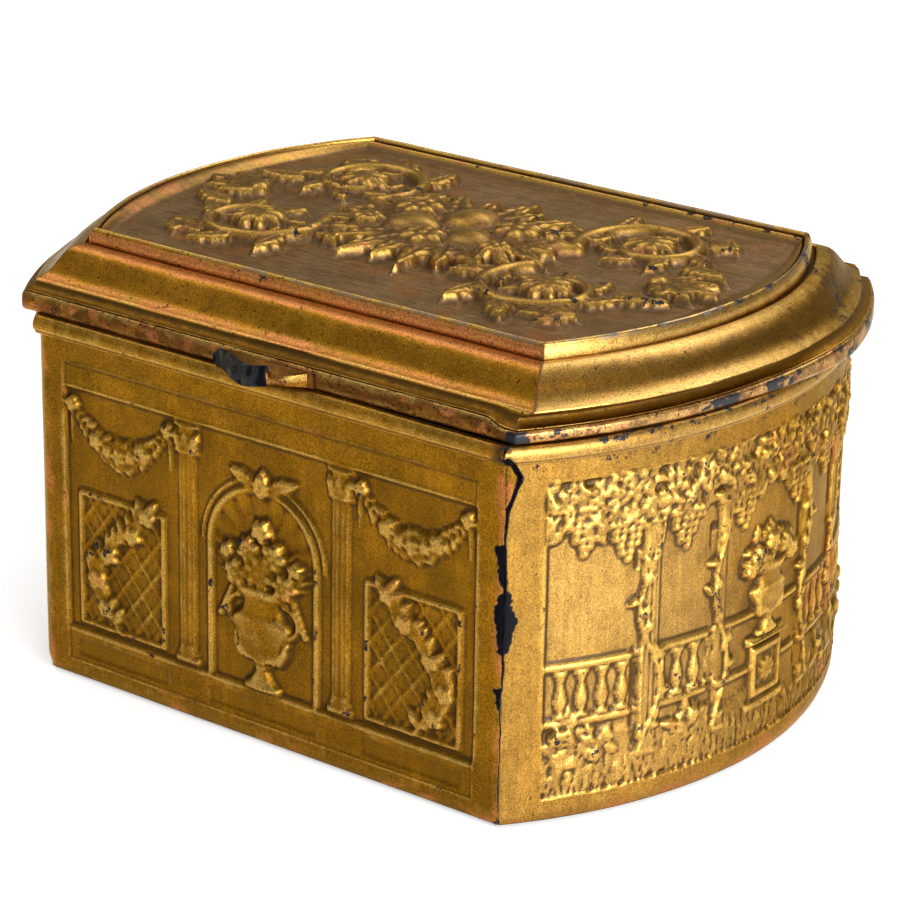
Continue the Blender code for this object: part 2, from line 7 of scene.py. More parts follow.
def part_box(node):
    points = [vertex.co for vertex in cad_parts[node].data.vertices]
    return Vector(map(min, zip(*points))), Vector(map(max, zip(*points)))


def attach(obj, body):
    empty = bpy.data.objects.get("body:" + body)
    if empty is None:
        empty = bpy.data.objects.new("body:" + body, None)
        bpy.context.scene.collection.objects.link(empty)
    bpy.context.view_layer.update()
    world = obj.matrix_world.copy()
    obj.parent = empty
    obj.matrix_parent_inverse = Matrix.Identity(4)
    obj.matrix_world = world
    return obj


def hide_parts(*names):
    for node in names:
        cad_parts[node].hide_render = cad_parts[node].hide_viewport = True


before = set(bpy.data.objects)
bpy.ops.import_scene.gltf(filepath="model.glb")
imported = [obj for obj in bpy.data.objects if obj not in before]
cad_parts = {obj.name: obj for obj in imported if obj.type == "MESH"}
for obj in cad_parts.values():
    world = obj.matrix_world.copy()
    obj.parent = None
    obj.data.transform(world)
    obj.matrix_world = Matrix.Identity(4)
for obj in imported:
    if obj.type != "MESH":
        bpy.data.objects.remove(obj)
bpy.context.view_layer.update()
mm = 0.001  # everything below is worked out in millimetres


def nodeBox(node):
    low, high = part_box(node)
    return [value / mm for value in low], [value / mm for value in high]


# the box's own plan, read back from the solids
frontLow, frontHigh = nodeBox("front_panel")
backLow, backHigh = nodeBox("back_panel")
endLow, endHigh = nodeBox("right_end_panel")
bandLow, bandHigh = nodeBox("body_rim_band")
rimLow, rimHigh = nodeBox("lid_rim_band")
topLow, topHigh = nodeBox("lid_top_panel")
liftLow, liftHigh = nodeBox("thumb_lift")
skirtFoot = nodeBox("lid_moulding")[0][2]

tin = {
    "sheet": 0.8,  # thickness
    "fieldDepth": 0.62,  # how far the pictures sit behind their frames
    "tuck": 0.28,  # how far the walls reach up behind the band
    "foldGap": 0.3,  # front panel to the corner fold
    "frameSlope": 0.55, "reliefSlope": 0.35,  # width of the drop to the field and of the fade of the relief
    "deepest": -0.4,  # lowest cut into the field
    "foldRound": (0.38, 0.9), "footRoll": (0.66, 2.4),  # fall and reach of the edges that round over
    "flangeRow": 3.6,  # flat strip along the top and bottom of the inner side
    "stretch": 3.5,  # strip of a sheet that is drawn out to the split corner
}
halfLength = frontHigh[0] + tin["foldGap"]
halfDepth = -frontLow[1]
lidGrow = rimHigh[0] - endHigh[0]  # lid past the ends
lidFront = frontLow[1] - rimLow[1]
bow = endHigh[0] - halfLength
endRadius = (halfDepth ** 2 + bow ** 2) / (2 * bow)
endCentre = halfLength + bow - endRadius
cornerHalf = endRadius * math.asin(halfDepth / endRadius)  # middle of an end to its fold
endHalf = endRadius * math.asin(endHigh[1] / endRadius)  # middle of an end to the edge of its sheet
print("plan: end radius", round(endRadius, 2), "mm")


# numbers and noise

def ramp(low, high, value):
    t = np.clip((value - low) / (high - low), 0.0, 1.0)
    return t * t * (3 - 2 * t)


def highest(*fields):
    out = fields[0]
    for field in fields[1:]:
        out = np.maximum(out, field)
    return out


def lumps(x, y, z, cell, seed):
    # smooth random field from 0 to 1, lumps about one cell wide
    axes = np.broadcast_arrays(np.asarray(x, float), np.asarray(y, float), np.asarray(z, float))
    low = [np.floor(axis / cell) for axis in axes]
    part = [ramp(0.0, 1.0, axis / cell - start) for axis, start in zip(axes, low)]
    cells = [(start.astype(np.int64) + 100000).astype(np.uint32) for start in low]
    shape = axes[0].shape
    total = np.zeros(shape)
    for corner in range(8):
        key = np.full(shape, seed * 2654435761 % 4294967296, dtype=np.uint32)
        weight = np.ones(shape)
        for axis, prime in enumerate((374761393, 668265263, 2246822519)):
            side = (corner >> axis) & 1
            key = (key ^ (cells[axis] + np.uint32(side))) * np.uint32(prime)
            key ^= key >> np.uint32(15)
            weight = weight * (part[axis] if side else 1 - part[axis])
        total += weight * (key & np.uint32(65535)) / 65535.0
    return total


def patchwork(x, y, z, big, small, share, seed):
    # broad patches with ragged edges
    return lumps(x, y, z, big, seed) * share + lumps(x, y, z, small, seed + 1) * (1 - share)


def blurred(field, reach):
    # three box passes each way, close to a gaussian; reach in cells
    reach = max(1, int(round(reach)))
    size = 2 * reach + 1
    for turn in range(6):
        run = np.cumsum(np.pad(field, [(reach + 1, reach), (0, 0)], mode="edge"), axis=0)
        field = ((run[size:] - run[:-size]) / size).T
    return field


def softened(field, passes=1):
    # takes the hard edge off a pressed shape, about one cell a pass
    for turn in range(2 * passes):
        wide = np.pad(field, [(1, 1), (0, 0)], mode="edge")
        field = (0.22 * wide[:-2] + 0.56 * wide[1:-1] + 0.22 * wide[2:]).T
    return field


# meshes

def addObject(name, data):
    made = bpy.data.objects.new(name, data)
    bpy.context.scene.collection.objects.link(made)
    return made


def gridFaces(index, area, flip=False):
    # quads of a grid of vertex numbers, with their place on the bake map
    across = np.linspace(area[0], area[2], index.shape[1])
    up = np.linspace(area[1], area[3], index.shape[0])
    made = []
    for grid, shape in ((index, (-1, 4)), (np.stack(np.meshgrid(across, up), -1), (-1, 4, 2))):
        quads = np.stack([grid[:-1, :-1], grid[:-1, 1:], grid[1:, 1:], grid[1:, :-1]], 2).reshape(shape)
        made.append(quads[:, ::-1] if flip else quads)
    return made


def makePiece(name, points, patches, caps, marks, material, sharpAngle=50):
    faces = np.concatenate([patch[0] for patch in patches]).tolist()
    spots = [patch[1].reshape(-1, 2) for patch in patches]
    for number, cap in enumerate(caps):
        faces.append([int(vertex) for vertex in cap])
        turn = np.linspace(0, 2 * math.pi, len(cap), endpoint=False)
        room = 0.9 / len(caps)  # the caps stand side by side along the top of the bake map
        middle = 0.05 + room * (number + 0.5)
        spots.append(np.stack([middle + 0.4 * room * np.cos(turn), 0.992 + 0.004 * np.sin(turn)], -1))
    mesh = bpy.data.meshes.new(name)
    mesh.from_pydata((points * mm).tolist(), [], faces)
    mesh.polygons.foreach_set("use_smooth", np.ones(len(faces), dtype=bool))
    mesh.uv_layers.new(name="OFBake").data.foreach_set("uv", np.concatenate(spots).astype(np.float32).ravel())
    for mark, values in marks.items():
        layer = mesh.attributes.new(mark, "FLOAT", "POINT")
        layer.data.foreach_set("value", np.asarray(values, dtype=np.float32).ravel())
    mesh.set_sharp_from_angle(angle=math.radians(sharpAngle))
    mesh.materials.append(material)
    return addObject(name, mesh)


def sheetPiece(name, outer, inner, marks, material, innerRows=None):
    # closed sheet: a fine outer face, a coarse inner face and the edges between them
    rows, columns = outer.shape[:2]
    stops = [(0, 0), (rows - 1, inner.shape[0] - 1)]
    if innerRows:
        stops = [(row, number) for number, row in enumerate(innerRows)]
    points = np.concatenate([outer.reshape(-1, 3), inner.reshape(-1, 3)])
    front = np.arange(rows * columns).reshape(rows, columns)
    back = rows * columns + np.arange(inner.shape[0] * columns).reshape(inner.shape[0], columns)
    patches = [
        gridFaces(front, (0.004, 0.004, 0.996, 0.93)),
        gridFaces(back, (0.004, 0.94, 0.996, 0.965), flip=True),
        gridFaces(np.stack([back[0], front[0]]), (0.004, 0.968, 0.996, 0.974)),
        gridFaces(np.stack([front[-1], back[-1]]), (0.004, 0.977, 0.996, 0.983)),
    ]
    caps = []
    for (low, first), (high, last) in zip(stops, stops[1:]):
        fine, coarse = slice(low, high + 1), slice(first, last + 1)
        caps.append(list(front[fine, 0][::-1]) + list(back[coarse, 0]))
        caps.append(list(front[fine, -1]) + list(back[coarse, -1][::-1]))
    whole = {mark: np.concatenate([values.ravel(), np.zeros(back.size)]) for mark, values in marks.items()}
    whole["inside"] = np.concatenate([np.zeros(front.size), np.ones(back.size)])
    return makePiece(name, points, patches, caps, whole, material)


def ringPiece(name, sections, closed, marks, material, sharpAngle=50):
    # sections[profile point, place along the loop]; the profile is closed, the loop may be
    shape = sections.shape[:2]
    points = sections.reshape(-1, 3)
    index = np.arange(len(points)).reshape(shape)
    index = np.concatenate([index, index[:1]])
    if closed:
        index = np.concatenate([index, index[:, :1]], axis=1)
    # faces turned inside out give a negative volume
    corners = points[gridFaces(index, (0, 0, 1, 1))[0]]
    volume = 0
    for second in (1, 2):
        normals = np.cross(corners[:, second], corners[:, second + 1])
        volume += np.einsum("ij,ij->i", corners[:, 0], normals).sum()
    flip = bool(volume < 0)
    caps = [] if closed else [list(index[:-1, 0])[::-1], list(index[:-1, -1])]
    if flip:
        caps = [cap[::-1] for cap in caps]
    patches = [gridFaces(index, (0.004, 0.004, 0.996, 0.98), flip)]
    whole = {mark: np.broadcast_to(values, shape) for mark, values in marks.items()}
    return makePiece(name, points, patches, caps, whole, material, sharpAngle)


def refined(profile, step):
    # shorter segments, so that wear and rounding have something to work on
    points = []
    for start, end in zip(profile, profile[1:] + profile[:1]):
        pieces = max(1, int(math.ceil(math.dist(start, end) / step)))
        for part in range(pieces):
            t = part / pieces
            points.append([start[0] + (end[0] - start[0]) * t, start[1] + (end[1] - start[1]) * t])
    return np.array(points)


def rounded(profile, passes, own=0.5):
    for turn in range(passes):
        profile = own * profile + (1 - own) / 2 * (np.roll(profile, 1, 0) + np.roll(profile, -1, 0))
    return profile


def profileMarks(profile, reach):
    # how far each profile point stands proud of (crest) or behind (cavity) its neighbours
    full = 0.07  # millimetres for a full mark
    after = np.roll(profile, -1, 0)
    tangent = after - np.roll(profile, 1, 0)
    normal = np.stack([tangent[:, 1], -tangent[:, 0]], -1)
    normal /= np.linalg.norm(normal, axis=1, keepdims=True) + 1e-9
    area = np.sum(profile[:, 0] * after[:, 1] - after[:, 0] * profile[:, 1])
    proud = np.sum((profile - rounded(profile, reach, 0.34)) * normal, axis=1) * (1 if area > 0 else -1)
    return np.clip(proud / full, 0, 1)[:, None], np.clip(-proud / full, 0, 1)[:, None]


# finishes

def nodeTools(tree, *names):
    # short names for the nodes that the finishes are wired from
    def add(kind, inputs=None, **settings):
        made = tree.nodes.new(kind)
        for name, value in settings.items():
            setattr(made, name, value)
        for name, value in (inputs or {}).items():
            if isinstance(value, bpy.types.NodeSocket):
                tree.links.new(value, made.inputs[name])
            else:
                made.inputs[name].default_value = value
        return made

    def maths(operation):
        def result(first, second, clamp=False):
            return add("ShaderNodeMath", {0: first, 1: second}, operation=operation, use_clamp=clamp).outputs[0]
        return result

    def step(value, low, high, bottom=0.0, top=1.0):
        inputs = {"Value": value, "From Min": low, "From Max": high, "To Min": bottom, "To Max": top}
        return add("ShaderNodeMapRange", inputs, interpolation_type="SMOOTHSTEP").outputs["Result"]

    def tint(factor, first, second, blend="MIX"):
        inputs = {0: factor}
        for slot, colour in ((6, first), (7, second)):
            inputs[slot] = (*colour, 1.0) if isinstance(colour, tuple) else colour
        return add("ShaderNodeMix", inputs, data_type="RGBA", blend_type=blend).outputs[2]

    tools = {"add": add, "plus": maths("ADD"), "minus": maths("SUBTRACT"), "times": maths("MULTIPLY"),
             "most": maths("MAXIMUM"), "step": step, "tint": tint}
    return [tools[name] for name in names or tools]


def lacquerFinish(look):
    material = bpy.data.materials.new(look["name"])
    material.use_nodes = True
    tree = material.node_tree
    shader = tree.nodes["Principled BSDF"].inputs
    add, plus, minus, times, most, step, tint = nodeTools(tree)
    place = add("ShaderNodeTexCoord").outputs["Object"]
    mark = {}
    for name in ("crest", "cavity", "warm", "toneAndPaintedLight", "patinaAndShade", "chip", "inside"):
        mark[name] = add("ShaderNodeAttribute", attribute_name=name).outputs["Fac"]

    def grain(size, detail, rough):
        # noise with features about size millimetres across
        inputs = {"Vector": place, "Scale": 1 / (size * mm), "Detail": detail, "Roughness": rough}
        return add("ShaderNodeTexNoise", inputs).outputs["Fac"]

    def coats(colour, *layers):
        for share, name in layers:
            colour = tint(share, colour, look[name])
        return colour

    # bronze paint: olive and gold in soft clouds, a pale tone that on some pieces is a painted highlight, brown
    # patina that on some pieces is painted shade, faint runs and a sandy grain
    mottle = grain(2.2, 6.0, 0.7)
    dust = grain(0.36, 2.0, 0.5)
    sand = grain(0.24, 3.0, 0.7)
    stretch = add("ShaderNodeMapping", {"Vector": place, "Scale": look["runScale"]}).outputs["Vector"]
    runs = add("ShaderNodeTexNoise", {"Vector": stretch, "Scale": 1.0, "Detail": 3.0}).outputs["Fac"]
    age = plus(times(mark["patinaAndShade"], 0.4), grain(4.5, 6.0, 0.65))
    colour = tint(step(grain(look["cloudSize"], 3.0, 0.5), 0.32, 0.68), look["shade"], look["gold"])
    colour = coats(colour, (times(mark["toneAndPaintedLight"], 0.8), "pale"),
                   (step(mottle, 0.52, 0.80, 0.0, look["mottle"]), "pale"),
                   (step(age, 0.46, 0.86, 0.0, look["age"]), "patinaAndShade"),
                   (step(runs, 0.38, 0.60, look["runs"], 0.0), "grime"))

    # rubbed high places: a lighter gold first, which is mostly a painted highlight on crests and lit bands, then
    # the copper coloured undercoat, which on the lid front is partly a painted pink sheen
    unrest = minus(mottle, 0.5)
    rubAndSheenField = plus(times(mark["crest"], 1.1), times(unrest, 1.2))
    shine = step(rubAndSheenField, 0.2, 0.95, 0.0, look["polishAndHighlight"])
    patch = grain(6.0, 4.0, 0.65)
    warmField = plus(mark["warm"], times(minus(patch, 0.5), 1.7))
    rubAndSheen = times(step(rubAndSheenField, 0.4, 1.0), step(patch, 0.50, 0.66))
    warm = most(times(rubAndSheen, look["rub"]), step(warmField, 0.32, 1.0, 0.0, look["warmth"]))
    colour = coats(colour, (shine, "highlight"), (warm, "copper"))
    colour = tint(1.0, colour, step(sand, 0.34, 0.66, 1 - look["sand"], 1 + 0.8 * look["sand"]), "MULTIPLY")

    # dust, old dirt in the hollows, rust spots and small dark pits
    dirtField = plus(times(mark["cavity"], look["dirt"]), times(unrest, 0.7))
    dirt = step(dirtField, 0.16, 0.95, 0.0, 0.95)
    pits = step(grain(0.62, 2.0, 0.5), look["pits"], look["pits"] + 0.05, 0.0, 0.85)
    rust = step(grain(3.4, 5.0, 0.75), look["rust"], look["rust"] + 0.06, 0.0, 0.6)
    colour = coats(colour, (step(dust, 0.30, 0.46, look["dusting"], 0.0), "grime"), (dirt, "grime"),
                   (rust, "rusty"), (pits, "pit"))

    # chips down to dark bare metal
    ragged = plus(minus(grain(1.1, 6.0, 0.75), 0.5), times(minus(dust, 0.5), 0.7))
    chipField = plus(mark["chip"], times(ragged, 1.4))
    chip = step(chipField, 0.49, 0.55)
    black = step(chipField, 1.15, 1.5)
    colour = coats(colour, (step(chipField, 0.36, 0.48, 0.0, 0.6), "rusty"), (chip, "bare"),
                   (times(chip, step(sand, 0.50, 0.70, 0.0, 0.5)), "worn"), (black, "black"),
                   (mark["inside"], "lining"))

    rough = step(mottle, 0.3, 0.75, look["rough"] - 0.04, look["rough"] + 0.06)
    rough = plus(plus(rough, times(dirt, 0.2)), times(chip, 0.2))
    dull = most(most(times(dirt, 0.35), times(chip, 0.6)), black)
    matt = plus(most(times(dirt, 0.3), times(chip, 0.42)), times(black, 0.06))
    relief = minus(plus(times(sand, 0.5), times(mottle, 0.35)), times(pits, 0.4))
    relief = plus(minus(relief, times(chip, 0.7)), times(runs, look["runs"]))
    bump = add("ShaderNodeBump", {"Height": relief, "Strength": look["bump"], "Distance": 0.1 * mm})
    wires = {"Base Color": colour, "Coat Weight": times(mark["toneAndPaintedLight"], look["coat"]),
             "Roughness": minus(rough, times(shine, 0.1), True), "Metallic": minus(look["metal"], dull, True),
             "Specular IOR Level": minus(0.5, matt, True), "Normal": bump.outputs["Normal"]}
    for name, wire in wires.items():
        tree.links.new(wire, shader[name])
    shader["Specular Tint"].default_value = (*look["edgeTint"], 1.0)
    shader["Coat Roughness"].default_value = 0.32
    return material


goldLook = {
    "name": "goldLacquer",
    "gold": (0.345, 0.150, 0.007),
    "shade": (0.208, 0.094, 0.004),
    "pale": (0.46, 0.246, 0.038),
    "highlight": (0.86, 0.56, 0.14),
    "copper": (0.46, 0.158, 0.040),
    "rusty": (0.150, 0.045, 0.012),
    "grime": (0.060, 0.029, 0.004),
    "pit": (0.030, 0.016, 0.004),
    "bare": (0.013, 0.015, 0.020),
    "worn": (0.075, 0.070, 0.072),  # lighter flecks in the bare places
    "black": (0.004, 0.004, 0.006),  # the deepest of them
    "lining": (0.20, 0.17, 0.12),
    "edgeTint": (1.0, 0.88, 0.62),
    "patinaAndShade": (0.150, 0.064, 0.004),
    "cloudSize": 11.0,
    "mottle": 0.30,
    "age": 0.60,
    "sand": 0.40,
    "dusting": 0.40,
    "runs": 0.16,  # share of grime in the streaks
    "runScale": (1100.0, 1100.0, 70.0),
    "polishAndHighlight": 0.36,
    "rub": 0.55,
    "warmth": 0.85,
    "dirt": 1.0,
    "rust": 0.67,
    "pits": 0.70,
    "rough": 0.42,
    "metal": 1.0,
    "coat": 0.5,  # clear coat on the pale tone and the painted highlight
    "bump": 0.42,
}
goldLacquer = lacquerFinish(goldLook)
# the pale tone of the ends is a painted highlight on their near half
endLacquer = lacquerFinish(dict(
    goldLook, name="endLacquer", pale=(0.62, 0.355, 0.075), highlight=(0.98, 0.59, 0.11), polishAndHighlight=0.52, coat=0.35,
    dirt=1.15))
# its lining colour also paints the grey reflection on the bead's roll
mouldingLacquer = lacquerFinish(dict(
    goldLook, name="mouldingLacquer", gold=(0.46, 0.200, 0.016), shade=(0.34, 0.156, 0.010),
    copper=(0.58, 0.205, 0.065), lining=(0.24, 0.195, 0.155), rub=0.6, dirt=1.1, pits=0.655, rust=0.62, runs=0.05,
    cloudSize=9.0, polishAndHighlight=0.5, rough=0.37))
# the pale tone of the rim is a painted highlight on its ends
wornRim = lacquerFinish(dict(
    goldLook, name="wornRim", gold=(0.35, 0.145, 0.016), shade=(0.18, 0.070, 0.010), pale=(0.72, 0.40, 0.125),
    copper=(0.42, 0.140, 0.045), patinaAndShade=(0.080, 0.030, 0.006), rub=0.8, polishAndHighlight=0.4, rust=0.50, pits=0.62,
    runs=0.05, cloudSize=3.0, age=0.9, sand=0.45))
brownPicture = lacquerFinish(dict(
    goldLook, name="brownPicture", gold=(0.46, 0.285, 0.145), shade=(0.36, 0.215, 0.108),
    pale=(0.25, 0.110, 0.006), highlight=(0.74, 0.43, 0.07), copper=(0.46, 0.18, 0.065),
    grime=(0.120, 0.068, 0.028), patinaAndShade=(0.165, 0.088, 0.030), coat=0.12, runs=0.45,
    runScale=(130.0, 2300.0, 900.0), polishAndHighlight=0.46, rub=0.75, rough=0.43, pits=0.69, sand=0.38))
hingeLacquer = lacquerFinish(dict(
    goldLook, name="hingeLacquer", gold=(0.36, 0.158, 0.010), shade=(0.22, 0.095, 0.008), pits=0.66))
darkStrip = lacquerFinish(dict(
    goldLook, name="darkStrip", gold=(0.014, 0.012, 0.011), shade=(0.008, 0.008, 0.008), pale=(0.03, 0.02, 0.012),
    highlight=(0.04, 0.03, 0.02), rough=0.6, metal=0.5))
bareTray = lacquerFinish(dict(
    goldLook, name="bareTray", gold=(0.26, 0.215, 0.16), shade=(0.16, 0.132, 0.10), pale=(0.34, 0.295, 0.23),
    grime=(0.05, 0.035, 0.022), edgeTint=(1.0, 1.0, 1.0), pits=0.66))
print("finishes made")


# pressing tools: each raises part of the sheet that is in the press, in millimetres

press = {}  # u and v run across and up the sheet, x and y are their grids, h is the height pressed so far


def luck():
    return press["chance"].random()


def newPress(panel, low, high, bottom, top, seed=0):
    side, base, head = panel.get("frame", (0, 0, 0))  # flat frame beside, below and above the field
    across = np.linspace(low, high, int(round((high - low) / panel["cell"])) + 1)
    up = np.linspace(bottom, top, int(round((top - bottom) / panel["cell"])) + 1)
    x, y = np.meshgrid(across, up)
    press.update(u=across, v=up, x=x, y=y, h=np.zeros(x.shape), cell=panel["cell"],
                 field=(low + side, high - side, bottom + base, top - head), chance=np.random.RandomState(seed))


def spotOf(left, right, bottom, top):
    # the cells of the sheet inside a rectangle
    columns = slice(*np.searchsorted(press["u"], (left, right)))
    rows = slice(*np.searchsorted(press["v"], (bottom, top)))
    return press["x"][rows, columns], press["y"][rows, columns], press["h"][rows, columns]


def fromEdge(x, y, left, right, bottom, top):
    return np.minimum(np.minimum(x - left, right - x), np.minimum(y - bottom, top - y))


def stamp(x, y, reach, shape):
    across, up, spot = spotOf(x - reach, x + reach, y - reach, y + reach)
    if spot.size:
        np.maximum(spot, shape(across - x, up - y), out=spot)


def slab(left, right, bottom, top, height, slope=0.4):
    x, y, spot = spotOf(left, right, bottom, top)
    np.maximum(spot, height * np.clip(fromEdge(x, y, left, right, bottom, top) / slope, 0, 1), out=spot)


def cut(left, right, bottom, top, depth, slope=0.3):
    x, y, spot = spotOf(left, right, bottom, top)
    spot -= depth * np.clip(fromEdge(x, y, left, right, bottom, top) / slope, 0, 1)


def dome(far, height, lift):
    # half-round rise; far is the square of the distance, 1 at the edge
    return np.where(far < 1, lift + height * np.sqrt(np.clip(1 - far, 0, 1)), 0)


def egg(x, y, length, width, angle, height, lift=0.0):
    cosine, sine = math.cos(angle), math.sin(angle)

    def shape(dx, dy):
        along, side = dx * cosine + dy * sine, dy * cosine - dx * sine
        return dome((along / (length / 2)) ** 2 + (side / (width / 2)) ** 2, height, lift)
    stamp(x, y, max(length, width) / 2, shape)


def ball(x, y, radius, height, lift=0.0):
    egg(x, y, 2 * radius, 2 * radius, 0, height, lift)


def leaf(x, y, length, width, angle, height, lift=0.0, ribs=4):
    # from the stem at x, y; a mid vein and side ribs
    cosine, sine = math.cos(angle), math.sin(angle)
    waves = ribs * 2 * math.pi

    def shape(dx, dy):
        along = np.clip((dx * cosine + dy * sine) / length, 0, 1)
        side = (dy * cosine - dx * sine) / (width / 2)
        edge = np.sin(math.pi * along ** 0.72) * (1 + 0.13 * np.cos(along * waves + 0.4)) + 1e-6  # scalloped
        inside = (np.abs(side) < edge) & (along > 0) & (along < 1)
        crown = np.sqrt(np.clip(1 - (side / edge) ** 2, 0, 1))
        vein = np.exp(-(side / 0.13) ** 2)
        veins = 0.5 + 0.5 * np.cos((along * 1.6 + np.abs(side) * 0.35) * waves)
        rise = 0.40 + 0.45 * crown + 0.22 * along - 0.26 * vein - 0.12 * veins * (1 - vein)
        return np.where(inside, lift + height * rise, 0)
    stamp(x, y, length, shape)


def blossom(x, y, radius, petals, height, turn=0.0, lift=0.0):
    def shape(dx, dy):
        far = np.hypot(dx, dy) / radius
        lobe = np.abs(np.cos(np.arctan2(dy, dx) * petals / 2 + turn))
        edge = 0.66 + 0.34 * lobe ** 0.6
        cup = np.sin(np.clip(far / edge, 0, 1) * math.pi * 0.93) ** 0.7
        petal = 0.30 + 0.70 * cup * (0.55 + 0.45 * lobe ** 0.5)
        heart = dome((far / 0.3) ** 2, 0.5, 0.55)
        return np.where(far < edge, lift + height * np.maximum(petal, heart), 0)
    stamp(x, y, radius, shape)


def rosette(x, y, radius, height, lift=0.0):
    blossom(x, y, radius, 8, height, 0.0, lift)
    blossom(x, y, radius * 0.6, 6, height * 0.55, 0.5, lift + height * 0.5)


def stroke(points, width, height, tip=1.0):
    # half-round line; tip is the width at its end as a share of the start
    total = max(1, len(points) - 1)
    for number, (start, end) in enumerate(zip(points, points[1:])):
        share = 1 + (tip - 1) * (number + 0.5) / total
        size = width / 2 * share
        dx, dy = end[0] - start[0], end[1] - start[1]
        square = dx * dx + dy * dy + 1e-9

        def shape(across, up):
            across, up = across + dx / 2, up + dy / 2
            t = np.clip((across * dx + up * dy) / square, 0, 1)
            far = ((across - dx * t) ** 2 + (up - dy * t) ** 2) / size ** 2
            return dome(far, height * min(1.0, share + 0.15), 0.0)
        stamp((start[0] + end[0]) / 2, (start[1] + end[1]) / 2, math.sqrt(square) / 2 + size, shape)


def vase(x, base, tall, wide, height, outline):
    # turned shape seen from the side; outline is (share of height, share of half width)
    levels, widths = zip(*outline)

    def shape(dx, dy):
        up = dy / tall + 0.5
        half = np.interp(up, levels, widths) * wide / 2
        inside = (up > 0) & (up < 1) & (np.abs(dx) < half)
        crown = 0.22 + 0.78 * np.sqrt(np.clip(1 - (dx / (half + 1e-6)) ** 2, 0, 1))
        return np.where(inside, height * crown * np.clip(0.55 + half / wide, 0, 1), 0)
    stamp(x, base + tall / 2, max(tall, wide) / 2 + 0.5, shape)


urnOutline = [(0.0, 0.62), (0.05, 0.62), (0.06, 0.50), (0.12, 0.34), (0.20, 0.20), (0.23, 0.30), (0.26, 0.22),
              (0.33, 0.50), (0.45, 0.82), (0.60, 1.0), (0.66, 1.0), (0.70, 0.86), (0.76, 0.66), (0.86, 0.62),
              (0.90, 0.78), (0.93, 0.92), (1.0, 0.95)]
balusterOutline = [(0.0, 1.0), (0.10, 1.0), (0.12, 0.45), (0.18, 0.55), (0.36, 0.95), (0.52, 0.75), (0.72, 0.38),
                   (0.80, 0.45), (0.84, 0.80), (0.88, 0.45), (0.91, 1.0), (1.0, 1.0)]


def spiral(x, y, start, turns, size, hand, steps=64):
    points = []
    for t in [step / steps for step in range(steps + 1)]:
        angle = start + hand * turns * 2 * math.pi * t
        reach = size * (1 - t) ** 0.85 + 0.6
        points.append((x + reach * math.cos(angle), y + reach * math.sin(angle)))
    return points


def acanthus(points, size, height, hand, every=6, first=3):
    # leaves that grow from the outer side of a scroll, and shorter ones from its inner side
    for number in range(first, len(points) - 8, every):
        (x, y), after = points[number], points[number + 1]
        angle = math.atan2(after[1] - y, after[0] - x)
        share = 1 - 0.55 * number / len(points)
        leaf(x, y, size * share, size * 0.48 * share, angle - hand * 0.75, height * share, 0.15)
        if (number - first) % (every * 2) == 0:
            leaf(x, y, size * 0.7 * share, size * 0.36 * share, angle + hand * 0.7, height * 0.85 * share, 0.1)


def fan(x, y, length, width, angle, height, lift=0.0, shorter=6.0, turns=(-0.55, 0.0, 0.55)):
    # spray of leaves, the outer ones shorter
    for turn in turns:
        leaf(x, y, length - shorter * abs(turn), width, angle + turn, height, lift)


def garland(left, right, y, sag, thick, height):
    # hanging swag of leaves with flowers at its lowest part
    span = right - left

    def hang(t):
        return left + span * t, y - sag * 4 * t * (1 - t)
    for t in [step / 22 for step in range(23)]:
        lean = math.atan2(-sag * 4 * (1 - 2 * t), span)
        full = thick * (0.45 + 0.75 * math.sin(math.pi * t))
        for side in (-1, 1):
            angle = lean + side * (0.6 + 0.5 * luck()) + (math.pi if t > 0.5 else 0)
            leaf(*hang(t), full * 1.15, full * 0.55, angle, height * (0.7 + 0.3 * luck()))
    for step in range(5):
        size = thick * (0.62 if step % 2 == 0 else 0.48)
        blossom(*hang(0.26 + 0.12 * step), size, 5, height * 0.9, step * 0.7, height * 0.35)


def foliage(x, y, wide, tall, count, size, height):
    # heap of small leaves that fills an oval
    for number in range(count):
        angle = 2 * math.pi * luck()
        reach = math.sqrt(luck())
        lift = height * 0.55 * (1 - reach * reach) * luck()
        length = size * (0.7 + 0.6 * luck())
        leaf(x + wide / 2 * reach * math.cos(angle), y + tall / 2 * reach * math.sin(angle), length, length * 0.55,
             2 * math.pi * luck(), height * (0.45 + 0.4 * luck()), lift, 3)


def grapes(x, y, tall, size, height):
    rows = int(tall / (size * 0.8))
    pitch = size * 0.85
    for row in range(rows):
        t = row / max(1, rows - 1)
        half = (1 - t ** 1.6) * tall * 0.34
        for step in range(max(1, int(round(2 * half / pitch)) + 1)):
            across = step * pitch - half + (row % 2) * size * 0.3 + (luck() - 0.5) * size * 0.3
            ball(x + across, y - row * size * 0.8, size * 0.55, height, height * 0.35 * (1 - t))


def grass(left, right, bottom, tall, count, height):
    for number in range(count):
        x = left + (right - left) * luck()
        y = bottom + tall * 0.5 * luck()
        lean = (luck() - 0.5) * 0.9
        rise = tall * (0.35 + 0.5 * luck())
        blade = [(x, y), (x + lean * rise * 0.4, y + rise * 0.6), (x + lean * rise, y + rise)]
        stroke(blade, 0.55, height * (0.5 + 0.5 * luck()), 0.3)


